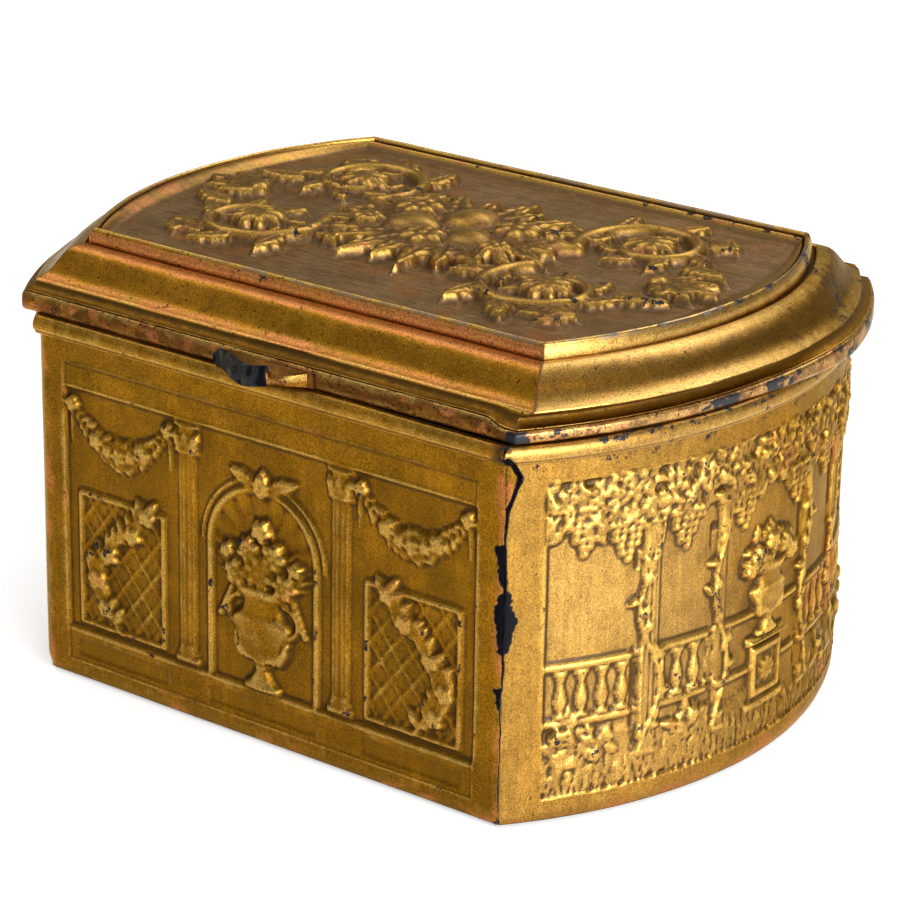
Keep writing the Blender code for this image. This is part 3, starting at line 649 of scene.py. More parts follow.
def pilaster(x, wide, bottom, top, height, leaves=True):
    # shaft, two steps of its base and its cap: share of width, foot, head, share of height
    for half, foot, head, rise in ((0.5, bottom, top, 1.0), (0.72, bottom, bottom + 1.6, 1.2),
                                   (0.62, bottom + 1.6, bottom + 2.4, 1.3), (0.75, top - 0.9, top, 1.5)):
        slab(x - wide * half, x + wide * half, foot, head, height * rise)
    for flute in (-1, 0, 1):
        spot = x + flute * wide * 0.27
        cut(spot - 0.36, spot + 0.36, bottom + 3.2, top - 5.2, height * 0.6)
    if leaves:
        for step in (-1, 1, 0):
            leaf(x + step * wide * 0.26, top - 4.8, 4.0, wide * 0.5, math.pi / 2 - step * 0.38, height * 1.3,
                 height * 0.35, 3)
        stroke([(x - wide * 0.62, top - 4.7), (x + wide * 0.62, top - 4.7)], 0.7, height * 1.4)


# sheet metal: what every wall shares

def tinRipple(x, y, seed):
    # old sheet is never quite flat
    return 0.10 * (lumps(x, y, 0.0, 17.0, seed) - 0.5) + 0.05 * (lumps(x, y, 0.0, 5.0, seed + 1) - 0.5)


def wallFace(ripple, edges, passes=1):
    # the flat frame, the drop to the field, the relief, and the foot and folds, which round over
    x, y = press["x"], press["y"]
    near = fromEdge(x, y, *press["field"])
    relief = softened(np.clip(press["h"], tin["deepest"], None) * ramp(0.0, tin["reliefSlope"], near), passes)
    face = relief + ripple - tin["fieldDepth"] * ramp(0.0, tin["frameSlope"], near)
    turned = [(tin["footRoll"], y - press["v"][0])] + [(tin["foldRound"], edge) for edge in edges]
    for (fall, reach), edge in turned:
        face -= fall * np.clip(1 - np.abs(edge) / reach, 0, 1) ** 2
    return face, near


# reach of the comparison and the height over it, both in millimetres, that gives a full mark
pressWear = {"close": (0.55, 0.17), "wide": (2.2, 0.75), "hollow": (0.3, -0.09), "broadHollow": (2.2, -0.35)}


def pressMarks(face, seed):
    # crest and cavity from blurred copies, patina in the wider hollows, chips on a few of the high places
    full = {}
    for name, (reach, height) in pressWear.items():
        full[name] = np.clip((face - blurred(face, reach / press["cell"])) / height, 0, 1)
    crest = 0.55 * full["close"] + 0.55 * full["wide"]
    patchy = patchwork(press["x"], press["y"], 0.0, 3.4, 0.9, 0.6, seed)
    chip = 0.62 * np.clip(crest * 1.25, 0, 1) * ramp(0.60, 0.80, patchy)
    return {"crest": crest, "chip": chip, "cavity": 0.8 * full["hollow"],
            "patinaAndShade": 0.6 * full["broadHollow"] + 0.25}


def wallSheet(name, panel, place, face, marks, material):
    # the inside is plain: level with the frame at the edges and pushed in behind the field
    u, v = press["u"], press["v"]
    lip = int(tin["flangeRow"] / press["cell"])
    rows = [0, lip, len(v) - 1 - lip, len(v) - 1]
    inside = np.full((4, len(u)), -tin["sheet"])
    inside[1:3] -= tin["fieldDepth"] * ramp(0.5, panel["flange"], np.minimum(u - u[0], u[-1] - u))
    x, y = press["x"], press["y"]
    return sheetPiece(name, place(x, y, face), place(x[rows], y[rows], inside), marks, material)


# split corner at the front right: (height, millimetres)

crack = {
    # where the split runs, from the fold round onto the end
    "line": [(60.6, 0.15), (59.0, 0.4), (57.0, 0.95), (55.8, 1.5), (54.9, 2.05), (54.0, 1.9), (51.0, 0.8),
             (49.4, 0.2), (46.0, 0.0), (44.4, -0.05), (36.0, 0.15), (0.0, 0.0)],
    "gap": [(60.6, 0.75), (57.0, 0.65), (54.5, 0.6), (53.0, 0.36), (49.0, 0.28), (44.0, 0.22), (34.0, 0.25),
            (22.0, 0.10), (20.0, -0.3), (0.0, -0.3)],
    # width of the paint lost on each side of it
    "frontChip": [(58.0, 0.06), (44.6, 0.06), (44.2, 1.2), (42.4, 1.3), (40.0, 0.9), (38.8, 0.5), (38.0, 0.2),
                  (37.2, 0.2), (36.6, 1.05), (33.5, 1.2), (29.6, 1.0), (28.0, 0.6), (27.4, 0.05), (22.4, 0.0),
                  (21.9, 1.1), (19.2, 0.8), (18.7, 0.0), (1.6, 0.0), (1.0, 0.9), (0.0, 1.2)],
    "endChip": [(58.0, 0.06), (55.4, 0.06), (54.4, 0.25), (53.2, 0.06), (44.0, 0.06), (37.6, 0.12), (37.0, 0.8),
                (35.0, 0.9), (33.0, 1.4), (30.0, 1.2), (28.4, 0.8), (27.8, 0.1), (27.4, 0.03), (22.0, 0.0),
                (0.0, 0.0)],
}


def crackAt(name, height):
    levels, values = zip(*sorted(crack[name]))
    return np.interp(height, levels, values)


def tornEdge(height, side):
    # where a sheet stops at the split, from the fold and round onto the end; the front is side -1
    ragged = 0.14 * (lumps(height, side, 0.0, 0.6, 91) - 0.5) + 0.3 * (lumps(height, 0.0, 0.0, 2.3, 92) - 0.5)
    return crackAt("line", height) + ragged + side * crackAt("gap", height) / 2


def lostPaint(distance, height, name):
    frayed = 0.5 + 0.6 * lumps(height, 1.0, 0.0, 1.5, 93) + 0.6 * lumps(height, 2.0, 0.0, 0.5, 94)
    width = crackAt(name, height) * frayed
    return 2.0 * ramp(width + 0.25, width - 0.1, distance)


# front panel

frontPress = {
    "cell": 0.25, "frame": (4.5, 2.9, 2.9 + tin["tuck"]), "flange": 4.8, "seed": 11,
    "relief": 0.6, "plinth": 6.0, "frieze": 4.5, "pilasterAt": 15.0,
    "bayAt": 28.6,  # middle of each side bay
    "arch": (10.4, 28.0),  # half width of the niche and the height where its arch springs
    "urn": (17.0, 11.5, 1.9),  # height, width and relief
    # flowers over the urn: across, up, size, petals
    "flowers": ((-4.6, 1.4, 2.5, 5), (4.7, 1.2, 2.5, 6), (-2.3, 5.6, 2.4, 6), (2.6, 5.5, 2.5, 5),
                (0.1, 9.0, 2.0, 5), (0.0, 2.4, 3.3, 6), (-6.6, 4.6, 1.4, 5), (6.7, 4.4, 1.4, 5)),
    "trellis": (8.6, 1.2, 23.0, 3.1),  # half width, foot and head over the plinth, pitch of the laths
}


def frontNiche(plinth, spring):
    # arch over a ribbed shell
    half, rise = frontPress["arch"][0], frontPress["relief"]
    across, up = press["x"], press["y"] - spring
    far = np.hypot(across, up)
    shell = 0.42 * np.abs(np.sin(np.arctan2(up, across) * 8.5)) * ramp(2.0, half, far)
    np.maximum(press["h"], np.where((far < half) & (up > 0), shell, 0), out=press["h"])
    bend = [(math.cos(a), math.sin(a)) for a in np.linspace(0, math.pi, 40)]
    arch, hood = [[(size * x, spring + size * y) for x, y in bend] for size in (half, half + 1.5)]
    stroke([(half, plinth)] + arch + [(-half, plinth)], 1.5, rise * 1.15)
    stroke(hood, 0.7, rise)
    for side in (-1, 1):
        leaf(side * 1.2, spring + half + 0.6, 6.2, 2.6, math.pi / 2 - side * 1.25, 0.9)
    leaf(0, spring + half - 1.4, 5.0, 3.4, math.pi / 2, 1.2, 0.2)


def frontUrn(plinth):
    # urn with its handles and flowers
    vase(0, plinth, *frontPress["urn"], urnOutline)
    for number in range(-4, 5):
        leaf(number * 0.85, plinth + 4.4, 5.0, 1.25, math.pi / 2 - number * 0.10, 0.55, 1.1, 2)
    for side in (-1, 1):
        stroke([(side * (4.6 + 2.3 * math.sin(t) ** 0.8), plinth + 9.2 + 5.6 * t / math.pi)
                for t in np.linspace(0.02, math.pi - 0.02, 14)], 0.95, 0.9)
        ball(side * 4.5, plinth + 14.8, 0.8, 0.8, 0.3)
    top = plinth + frontPress["urn"][0]
    for number in range(13):
        angle = math.pi * (number + 0.5) / 13
        reach = 7.0 + 1.6 * (number % 2)
        leaf(1.6 * math.cos(angle), top + 0.6, reach, 2.5, angle + 0.1 * (luck() - 0.5), 0.95)
    for x, y, size, petals in frontPress["flowers"]:
        blossom(x, top + y, size, petals, 1.05, luck() * 3, 0.65)
    for side in (-1, 1):
        for step in range(7):
            ball(side * (5.6 + 0.45 * step), top - 0.6 - 0.95 * step, 0.62, 0.7, 0.25)


def sideBay(side, plinth, frieze):
    # swag, ribbon knots and a trellis with a climbing rose
    across, up, middle = press["x"], press["y"], side * frontPress["bayAt"]
    garland(middle - 9.8, middle + 9.8, frieze - 2.4, 6.4, 2.7, 0.95)
    for end in (-1, 1):
        knot = middle + end * 9.9
        blossom(knot, frieze - 2.3, 1.5, 4, 0.9, 0.4, 0.2)
        stroke([(knot + end * 0.3 * math.sin(t * 2.2), frieze - 3.2 - 5.4 * t) for t in np.linspace(0, 1, 9)],
               0.95, 0.55, 0.6)
    half, foot, head, pitch = frontPress["trellis"]
    left, right, low, high = middle - half, middle + half, plinth + foot, plinth + head
    inside = (across > left) & (across < right) & (up > low) & (up < high)
    for sign in (-1, 1):
        line = np.abs(((across - middle) * 0.78 + sign * (up - low) * 0.62) % pitch - pitch / 2)
        lath = dome((line / 0.38) ** 2, 0.36, 0.0)
        np.maximum(press["h"], lath, out=press["h"], where=inside)
    stroke([(left, low), (left, high), (right, high), (right, low), (left, low)], 1.15, 0.62)
    stem = [(middle + side * 5.6 * math.sin(t * 4.4), plinth + 1 + 22 * t) for t in np.linspace(0, 1, 30)]
    stroke(stem, 0.85, 0.85, 0.5)
    for x, y in stem[2:29:2]:
        lean = 0.5 + luck() * 0.9
        leaf(x, y, 3.7, 2.1, lean, 0.85, 0.25)
        leaf(x, y, 3.5, 2.0, math.pi - lean, 0.85, 0.2)
    for number in (5, 11, 17, 23, 28):
        x, y = stem[number]
        blossom(x + 0.6, y, 1.75, 5, 0.95, number, 0.5)


def frontRelief():
    rise, bay = frontPress["relief"], frontPress["bayAt"]
    wide, floor, ceiling = press["field"][1:]
    plinth, frieze = floor + frontPress["plinth"], ceiling - frontPress["frieze"]
    for bottom, top, height in ((floor, plinth, 1.0), (plinth - 1.2, plinth, 1.35), (frieze, ceiling, 0.75),
                                (frieze, frieze + 0.9, 1.35)):
        slab(-wide, wide, bottom, top, rise * height)
    for x, half in ((-bay, 9.6), (0.0, 10.6), (bay, 9.6)):
        cut(x - half, x + half, floor + 1.0, plinth - 1.9, 0.3)
    frontNiche(plinth, floor + frontPress["arch"][1])
    frontUrn(plinth)
    for side in (-1, 1):
        pilaster(side * frontPress["pilasterAt"], 3.6, plinth, frieze, rise * 1.15)
        sideBay(side, plinth, frieze)


def makeFront():
    newPress(frontPress, frontLow[0], frontHigh[0], frontLow[2], frontHigh[2] + tin["tuck"], frontPress["seed"])
    frontRelief()
    across, up = press["x"], press["y"]

    def stretched(x, z):
        # the sheet reaches round the fold as far as the split
        return x + (tin["foldGap"] + tornEdge(z, -1)) * ramp(frontHigh[0] - tin["stretch"], frontHigh[0], x)

    fold = stretched(across, up) - halfLength
    leftEdge = across - frontLow[0]
    face, near = wallFace(tinRipple(across, up, 5), (leftEdge, fold), 2)
    marks = pressMarks(face, 21)
    marks["chip"] = highest(marks["chip"], lostPaint(tornEdge(up, -1) - fold, up, "frontChip"))
    edge = np.minimum(leftEdge, np.abs(fold))
    marks["crest"] = highest(marks["crest"], 0.55 * ramp(1.0, 0.0, edge))
    edge = np.minimum(edge, up - frontLow[2])
    marks["warm"] = 0.85 * ramp(3.2, 0.2, edge) * ramp(0.3, 0.6, lumps(across, up, 2.0, 3.5, 23))
    marks["warm"] += 0.5 * ramp(1.1, 0.1, np.abs(near)) * ramp(0.42, 0.62, lumps(across, up, 2.0, 5.0, 24))
    # darker and browner towards the bottom and towards the left edge
    marks["patinaAndShade"] += 0.5 * ramp(16.0, 2.0, up - frontLow[2]) + 0.3 * ramp(12.0, 0.0, leftEdge)

    def place(x, z, height):
        wrapped = stretched(x, z)
        past = np.clip(wrapped - halfLength, 0, None)
        angle = (past - cornerHalf) / endRadius
        reach = endRadius + height
        flat = np.stack([wrapped, frontLow[1] - height, z], -1)
        bent = np.stack([endCentre + reach * np.cos(angle), reach * np.sin(angle), z], -1)
        return np.where((past > 0)[..., None], bent, flat)
    piece = wallSheet("frontPanel", frontPress, place, face, marks, goldLacquer)
    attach(piece, "body")
    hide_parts("front_panel")


makeFront()
print("front panel pressed")


# bowed ends

endPress = {
    "cell": 0.27, "frame": (5.0, 3.5, 2.9 + tin["tuck"]), "flange": 5.2, "seed": 31,
    "relief": 0.6, "depth": 0.85,  # share of the relief that is kept
    "postAt": 25.6, "posts": ((0.0, 3.2), (14.0, 2.3)),  # nearer the middle by, thickness
    "rails": ((11.0, 12.6, 1.1), (20.0, 21.6, 1.2)),  # of the balustrade: foot, head, share of the relief
    "urn": (11.5, 9.0, 1.9),
    "flowers": ((-3.4, 30.2), (3.3, 30.4), (0.0, 31.6), (-1.2, 28.8), (5.4, 28.8), (-5.5, 28.7)),
    "bushes": ((-37.5, 11.0), (37.0, 12.0), (-18.5, 7.0), (18.5, 6.5)),  # across, size
    "grapesAt": (-37.0, -30.0, -19.5, -7.0, 7.5, 18.8, 30.5, 37.5),
    "grass": (7.6, 620, 1.0),  # height, blades, relief
}


def terrace(wide, floor):
    # rolling ground with a path, then a balustrade
    across, up = press["x"], press["y"]
    hill = floor + 9.5 + 1.6 * np.sin(across / 11.0) + 0.8 * np.sin(across / 4.7 + 1.0)
    press["h"] += 0.38 * ramp(0.6, -0.6, up - hill) * ramp(-1.0, 3.0, up - floor)
    path = np.abs(across - 3.2 * np.sin((up - floor) / 4.0)) - 5.2 * ramp(floor + 11, floor, up) - 1.2
    press["h"] -= 0.25 * ramp(0.8, -0.4, path) * ramp(floor + 10, floor + 8, up)
    for foot, head, height in endPress["rails"]:
        slab(-wide, wide, floor + foot, floor + head, endPress["relief"] * height)
    for number in range(-12, 13):
        if abs(number) > 2:
            vase(number * 3.35, floor + 12.6, 7.4, 2.3, 0.85, balusterOutline)


def vinePost(side, nearer, thick, floor, ceiling):
    spot = side * (endPress["postAt"] - nearer)
    cut(spot - thick / 2 - 1.5, spot - thick / 2, floor + 5.0, ceiling - 8.5, 0.55)
    pilaster(spot, thick, floor + 4.0, ceiling - 8.0, endPress["relief"] * 1.5, False)
    twine = [(spot + thick * 0.62 * math.sin(t * 9.5 + side), floor + 5 + (ceiling - floor - 12) * t)
             for t in np.linspace(0, 1, 46)]
    stroke(twine, 0.8, 1.2, 0.7)
    for x, y in twine[2:44:3]:
        leaf(x, y, 2.4, 1.4, 2 * math.pi * luck(), 0.45, 0.7, 3)


def gardenUrn(floor):
    # urn on a pedestal, with its flowers
    slab(-5.6, 5.6, floor + 4.6, floor + 6.6, 1.0)
    slab(-4.2, 4.2, floor + 6.6, floor + 15.4, 1.15)
    cut(-3.0, 3.0, floor + 8.0, floor + 14.0, 0.4)
    rosette(0, floor + 11.0, 2.2, 0.55, 0.75)
    slab(-5.2, 5.2, floor + 15.4, floor + 16.9, 1.45)
    vase(0, floor + 16.9, *endPress["urn"], urnOutline)
    for number in range(-3, 4):
        leaf(number * 0.8, floor + 19.9, 3.6, 1.1, math.pi / 2 - number * 0.1, 0.5, 1.2, 2)
    foliage(0, floor + 30.6, 11.0, 6.0, 46, 3.4, 1.2)
    for x, y in endPress["flowers"]:
        blossom(x, floor + y, 1.75, 5, 0.95, luck() * 3, 0.85)


def overhead(wide, ceiling, seed):
    # beam, rafters, leaves and grapes; gives back how the leaves crinkle
    slab(-wide, wide, ceiling - 8.4, ceiling - 6.4, endPress["relief"] * 1.3)
    for number in range(-11, 12):
        slab(number * 3.8 - 0.75, number * 3.8 + 0.75, ceiling - 6.4, ceiling, endPress["relief"] * 0.9)
    for number in range(15):
        x = -wide + 2.5 + (2 * wide - 5) * number / 14
        foliage(x, ceiling - 4.0 - 2.6 * luck(), 9.5, 8.2, 34, 3.0, 1.35)
    for x in endPress["grapesAt"]:
        grapes(x, ceiling - 6.5 - 2.0 * luck(), 6.2 + 1.6 * luck(), 1.45, 0.95)
    leafy = ramp(ceiling - 10.0, ceiling - 7.5, press["y"]) * ramp(0.35, 0.8, press["h"])
    return 0.7 * leafy * (lumps(press["x"], press["y"], 0.0, 0.65, seed) - 0.5)


def endRelief(seed):
    wide, floor, ceiling = press["field"][1:]
    terrace(wide, floor)
    for side in (-1, 1):
        for nearer, thick in endPress["posts"]:
            vinePost(side, nearer, thick, floor, ceiling)
    gardenUrn(floor)
    # bushes, flowers and grass along the ground
    for x, size in endPress["bushes"]:
        foliage(x, floor + 5.2 + size * 0.22, size, size * 0.82, int(size * 6), 2.5, 1.15)
        for number in range(int(size / 2.4)):
            blossom(x + size * 0.7 * (luck() - 0.5), floor + 5.0 + size * 0.55 * luck(), 1.15, 5,
                    0.8, luck() * 3, 0.75)
    grass(-wide, wide, floor - 0.4, *endPress["grass"])
    crinkle = overhead(wide, ceiling, seed + 9)
    inside = np.abs(press["x"]) < wide
    press["h"] = np.where(inside, endPress["depth"] * press["h"] * (1 + crinkle), 0)


def makeEnd(name, node, side, seed):
    newPress(endPress, -endHalf, endHalf, endLow[2], endHigh[2] + tin["tuck"], seed)
    endRelief(seed)
    across, up = press["x"], press["y"]
    split = side > 0  # the right end stops at the torn corner

    def stretched(u, z):
        if not split:
            return u
        return u + (endHalf - cornerHalf + tornEdge(z, 1)) * ramp(tin["stretch"] - endHalf, -endHalf, u)

    fold = stretched(across, up) + cornerHalf
    edge = np.minimum(fold if split else across + endHalf, endHalf - across)
    face, near = wallFace(tinRipple(across, up, seed), (edge,))
    marks = pressMarks(face, seed + 3)
    topWear = ramp(endHigh[2] - 2.4, endHigh[2] - 0.4, up) * ramp(0.46, 0.66, lumps(across, up, 3.0, 2.6, 47))
    marks["chip"] = highest(marks["chip"] * 0.85, 0.42 * topWear)
    if split:
        marks["chip"] = highest(marks["chip"], lostPaint(fold - tornEdge(up, 1), up, "endChip"))
    marks["crest"] = highest(marks["crest"], 0.55 * ramp(1.0, 0.0, edge))
    height, backward = up - endLow[2], across * side
    marks["warm"] = 0.55 * ramp(0.42, 0.68, lumps(across, up, 1.0, 6.0, seed + 6)) * ramp(-36.0, 24.0, backward)
    marks["warm"] += 0.4 * ramp(10.0, 0.4, height) * ramp(0.35, 0.6, lumps(across, up, 2.0, 4.0, seed + 7))
    marks["warm"] += 0.5 * ramp(2.0, 0.3, height) * ramp(0.3, 0.5, lumps(across, up, 3.0, 3.0, seed + 8))
    # the near half of each end is painted paler, a painted highlight, and the back half darker, painted shade
    marks["toneAndPaintedLight"] = (0.12 + 0.88 * ramp(10.0, -30.0, backward)) * (0.5 + 0.5 * ramp(0.0, 0.6, near))
    marks["patinaAndShade"] = marks["patinaAndShade"] * 0.4 + 0.8 * ramp(4.0, 34.0, backward)

    def place(u, z, height):
        angle = stretched(u, z) / endRadius
        reach = endRadius + height
        return np.stack([side * (endCentre + reach * np.cos(angle)), side * reach * np.sin(angle), z], -1)
    piece = wallSheet(name, endPress, place, face, marks, endLacquer)
    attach(piece, "body")
    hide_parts(node)


makeEnd("rightEndPanel", "right_end_panel", 1, endPress["seed"])
makeEnd("leftEndPanel", "left_end_panel", -1, endPress["seed"] + 8)
print("end panels pressed")


# back panel: plainer, with one wreath below the hinge

backPress = {
    "cell": 0.34, "frame": (4.5, 2.9, backHigh[2] - 46.5),  # the field ends below the hinge leaf
    "flange": 4.8,
    "wreath": (15.0, 13.0),  # half width and half height
    "cornerAt": (36.0, 17.6),
}


def makeBack():
    newPress(backPress, backLow[0], backHigh[0], backLow[2], backHigh[2])
    across, up = press["x"], press["y"]
    middle = sum(press["field"][2:]) / 2
    wide, tall = backPress["wreath"]
    ring = [(wide * math.cos(t), middle + tall * math.sin(t)) for t in np.linspace(0, 2 * math.pi, 61)]
    stroke(ring, 1.1, 0.6)
    for x, y in ring[:60:2]:
        angle = math.atan2(y - middle, x) + math.pi / 2
        leaf(x, y, 4.4, 2.0, angle - 0.45, 0.8)
        leaf(x, y, 4.2, 1.9, angle + 0.5, 0.8)
    for spot in ring[:60:15]:
        rosette(*spot, 2.8, 0.9, 0.4)
    rosette(0, middle, 6.0, 0.9)
    for sideX in (-1, 1):
        for sideZ in (-1, 1):
            x, y = sideX * backPress["cornerAt"][0], middle + sideZ * backPress["cornerAt"][1]
            fan(x, y, 11.0, 4.0, math.atan2(-sideZ * 0.75, -sideX), 0.8, 0.1)
            ball(x, y, 1.7, 0.9, 0.2)
    edge = np.minimum(across - backLow[0], backHigh[0] - across)
    face = wallFace(np.minimum(tinRipple(across, up, 67), 0.04), (edge,))[0]
    marks = pressMarks(face, 71)

    def place(u, z, height):
        return np.stack([-u, backHigh[1] + height, z], -1)
    piece = wallSheet("backPanel", backPress, place, face, marks, goldLacquer)
    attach(piece, "body")
    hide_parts("back_panel")


makeBack()
print("back panel pressed")


# sweeps round the lid and the body

def endArc(offset, first, last, share):
    reach = endRadius + offset
    start, stop = math.asin(first / reach), math.asin(last / reach)
    angles = start + (stop - start) * share
    return np.stack([endCentre + reach * np.cos(angles), reach * np.sin(angles)], -1)


def lidLoop(inset, endCount, longCount):
    # once round the lid, with the same number of points for every inset
    share = np.linspace(0, 1, endCount + 1)
    right = endArc(lidGrow - inset, inset - halfDepth - lidFront, halfDepth - inset, share)
    left = right[::-1] * (-1, 1)
    share = np.linspace(0, 1, longCount + 1)[1:-1, None]
    backLine = right[-1] + (left[0] - right[-1]) * share
    frontLine = left[-1] + (right[0] - left[-1]) * share
    return np.concatenate([right, backLine, left, frontLine])


def swept(profile, loops):
    # every profile point at its own height on its own loop
    height = np.repeat(profile[:, 1:2], loops.shape[1], axis=1)
    return np.concatenate([loops, height[..., None]], -1)


def lidSweep(profile, swing, seed):
    loops = np.stack([lidLoop(inset, swing["endCells"], swing["longCells"]) for inset in profile[:, 0]])
    points = swept(profile, loops)
    x, y, z = np.moveaxis(points, -1, 0)
    ripple = lumps(x, y, z, 6.0, seed) - 0.5 + 0.5 * (lumps(x, y, z, 1.6, seed + 1) - 0.5)
    points[..., 2] += swing["wobble"] * ripple
    return points


lidWarp = {
    "lift": 0.12, "liftX": (-12.0, 58.0), "liftY": (18.0, -40.0),  # sprung up at the front right corner
    "dent": 2.6, "dentX": (40.0, 47.0), "dentY": (22.0, -12.0), "dentZ": (64.5, 63.6),  # rim bent in there
    "squeeze": 1.1,  # and flattened
    "slip": 0.7, "slipX": (25.0, 60.0), "slipY": (-12.0, 22.0),  # right end pushed out towards the back
}


def warped(points):
    x, y, z = np.moveaxis(points, -1, 0)
    sprung = ramp(*lidWarp["liftX"], x) * ramp(*lidWarp["liftY"], y)
    atCorner = ramp(*lidWarp["dentX"], x) * ramp(*lidWarp["dentY"], y)
    lower = np.interp(z, [rimLow[2], rimHigh[2], rimHigh[2] + 0.4, lidWarp["dentZ"][0]], [0.0, 1.0, 1.0, 0.0])
    moved = points.copy()
    moved[..., 0] -= lidWarp["dent"] * atCorner * ramp(*lidWarp["dentZ"], z)
    moved[..., 0] += lidWarp["slip"] * ramp(*lidWarp["slipX"], x) * ramp(*lidWarp["slipY"], y)
    moved[..., 2] += lidWarp["lift"] * sprung - lidWarp["squeeze"] * atCorner * lower
    return moved


def atEnds(x, y):
    # 1 on the bowed ends of the lid, 0 on its front and back; the corner joints divide them
    fromEnd = endRadius + lidGrow - np.hypot(np.abs(x) - endCentre, y)
    fromSide = np.minimum(y + halfDepth + lidFront, halfDepth - y)
    return ramp(0.25, -0.25, fromEnd - fromSide)


lidRim = {
    "step": 0.24, "endCells": 200, "longCells": 180, "wobble": 0.10, "thick": 1.2,
    "past": (0.3, 0.2),  # below and above the solid rim
    "edge": [(0.80, 0.0), (0.45, 0.06), (0.20, 0.24), (0.05, 0.60), (0.0, 1.0)],  # rounding: inset, height
}


def makeLidRim():
    low, top, thick = rimLow[2] - lidRim["past"][0], rimHigh[2] + lidRim["past"][1], lidRim["thick"]
    outline = [(thick, top), (thick, low)] + [(inset, low + rise) for inset, rise in lidRim["edge"]]
    outline += [(inset, top - rise) for inset, rise in lidRim["edge"][::-1]]
    profile = rounded(refined(outline, lidRim["step"]), 1)
    points = lidSweep(profile, lidRim, 101)
    crest, cavity = profileMarks(profile, 4)
    x, y, z = np.moveaxis(points, -1, 0)
    inset = profile[:, :1]
    patchy = patchwork(x, y, z, 3.0, 1.0, 0.55, 103)
    atEnd = atEnds(x, y)
    outer = ramp(0.6, 0.1, inset)
    # the right end has lost paint in runs, and the near corner is bare
    worn = ramp(44.0, 50.0, x) * ramp(0.42, 0.62, lumps(y, x, 0.0, 8.0, 105))
    bare = ramp(46.6, 47.6, x) * ramp(-41.6, -43.6, y)
    chip = highest(ramp(0.56, 0.80, patchy) * 0.45, worn * ramp(0.40, 0.62, patchy) * 0.75,
                   bare * ramp(0.3, 0.45, patchy))
    marks = {
        "crest": crest, "cavity": cavity, "chip": outer * chip, "inside": inset > thick - 0.05,
        "warm": outer * (0.05 + 0.75 * ramp(0.45, 0.75, lumps(x, y, z, 2.4, 107))),
        # the ends are painted paler, most at their near half: a painted highlight; the front has more of the dark
        # mottling
        "toneAndPaintedLight": atEnd * (0.4 + 0.6 * ramp(25.0, -15.0, y)),
        "patinaAndShade": (0.4 + 0.8 * ramp(0.35, 0.65, lumps(x, y, z, 2.6, 108))) * (1 - 0.75 * atEnd),
    }
    piece = ringPiece("lidRimBand", warped(points), True, marks, wornRim)
    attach(piece, "lid")
    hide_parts("lid_rim_band")


lidMould = {
    "step": 0.25, "endCells": 172, "longCells": 150, "wobble": 0.09,
    "skirt": 1.5, "ledgeInset": 0.4, "ledgeRise": 0.3, "lip": 0.1, "cove": (1.85, 1.15), "riser": 0.3,
    "undercut": 0.25,
    "cyma": (7.0, 4.9), "shoulder": 0.3, "groove": (0.6, 0.4), "grooveExtra": 0.35,  # pairs are width, height
    "bead": (1.3, 2.7), "roll": 0.43,  # the bead ends in a small roll
    "soft": 3,  # rounding passes
    "seat": 2.0, "seatDrop": 1.25,  # the seat lies under the sunk ground of the picture
}


def cymaCurve(start, end, drop=0.0):
    wide, tall = lidMould["cyma"]
    first = (start[0] + wide * 0.50, start[1] + tall * 0.14)
    second = (end[0] - wide * 0.52, end[1] - tall * 0.07)
    points = []
    for t in np.linspace(0, 1, 22):
        weights = ((1 - t) ** 3, 3 * t * (1 - t) ** 2, 3 * t * t * (1 - t), t ** 3)
        spot = [sum(w * p[axis] for w, p in zip(weights, (start, first, second, end))) for axis in (0, 1)]
        points.append((spot[0] + drop * 0.75, spot[1] - drop))
    return points


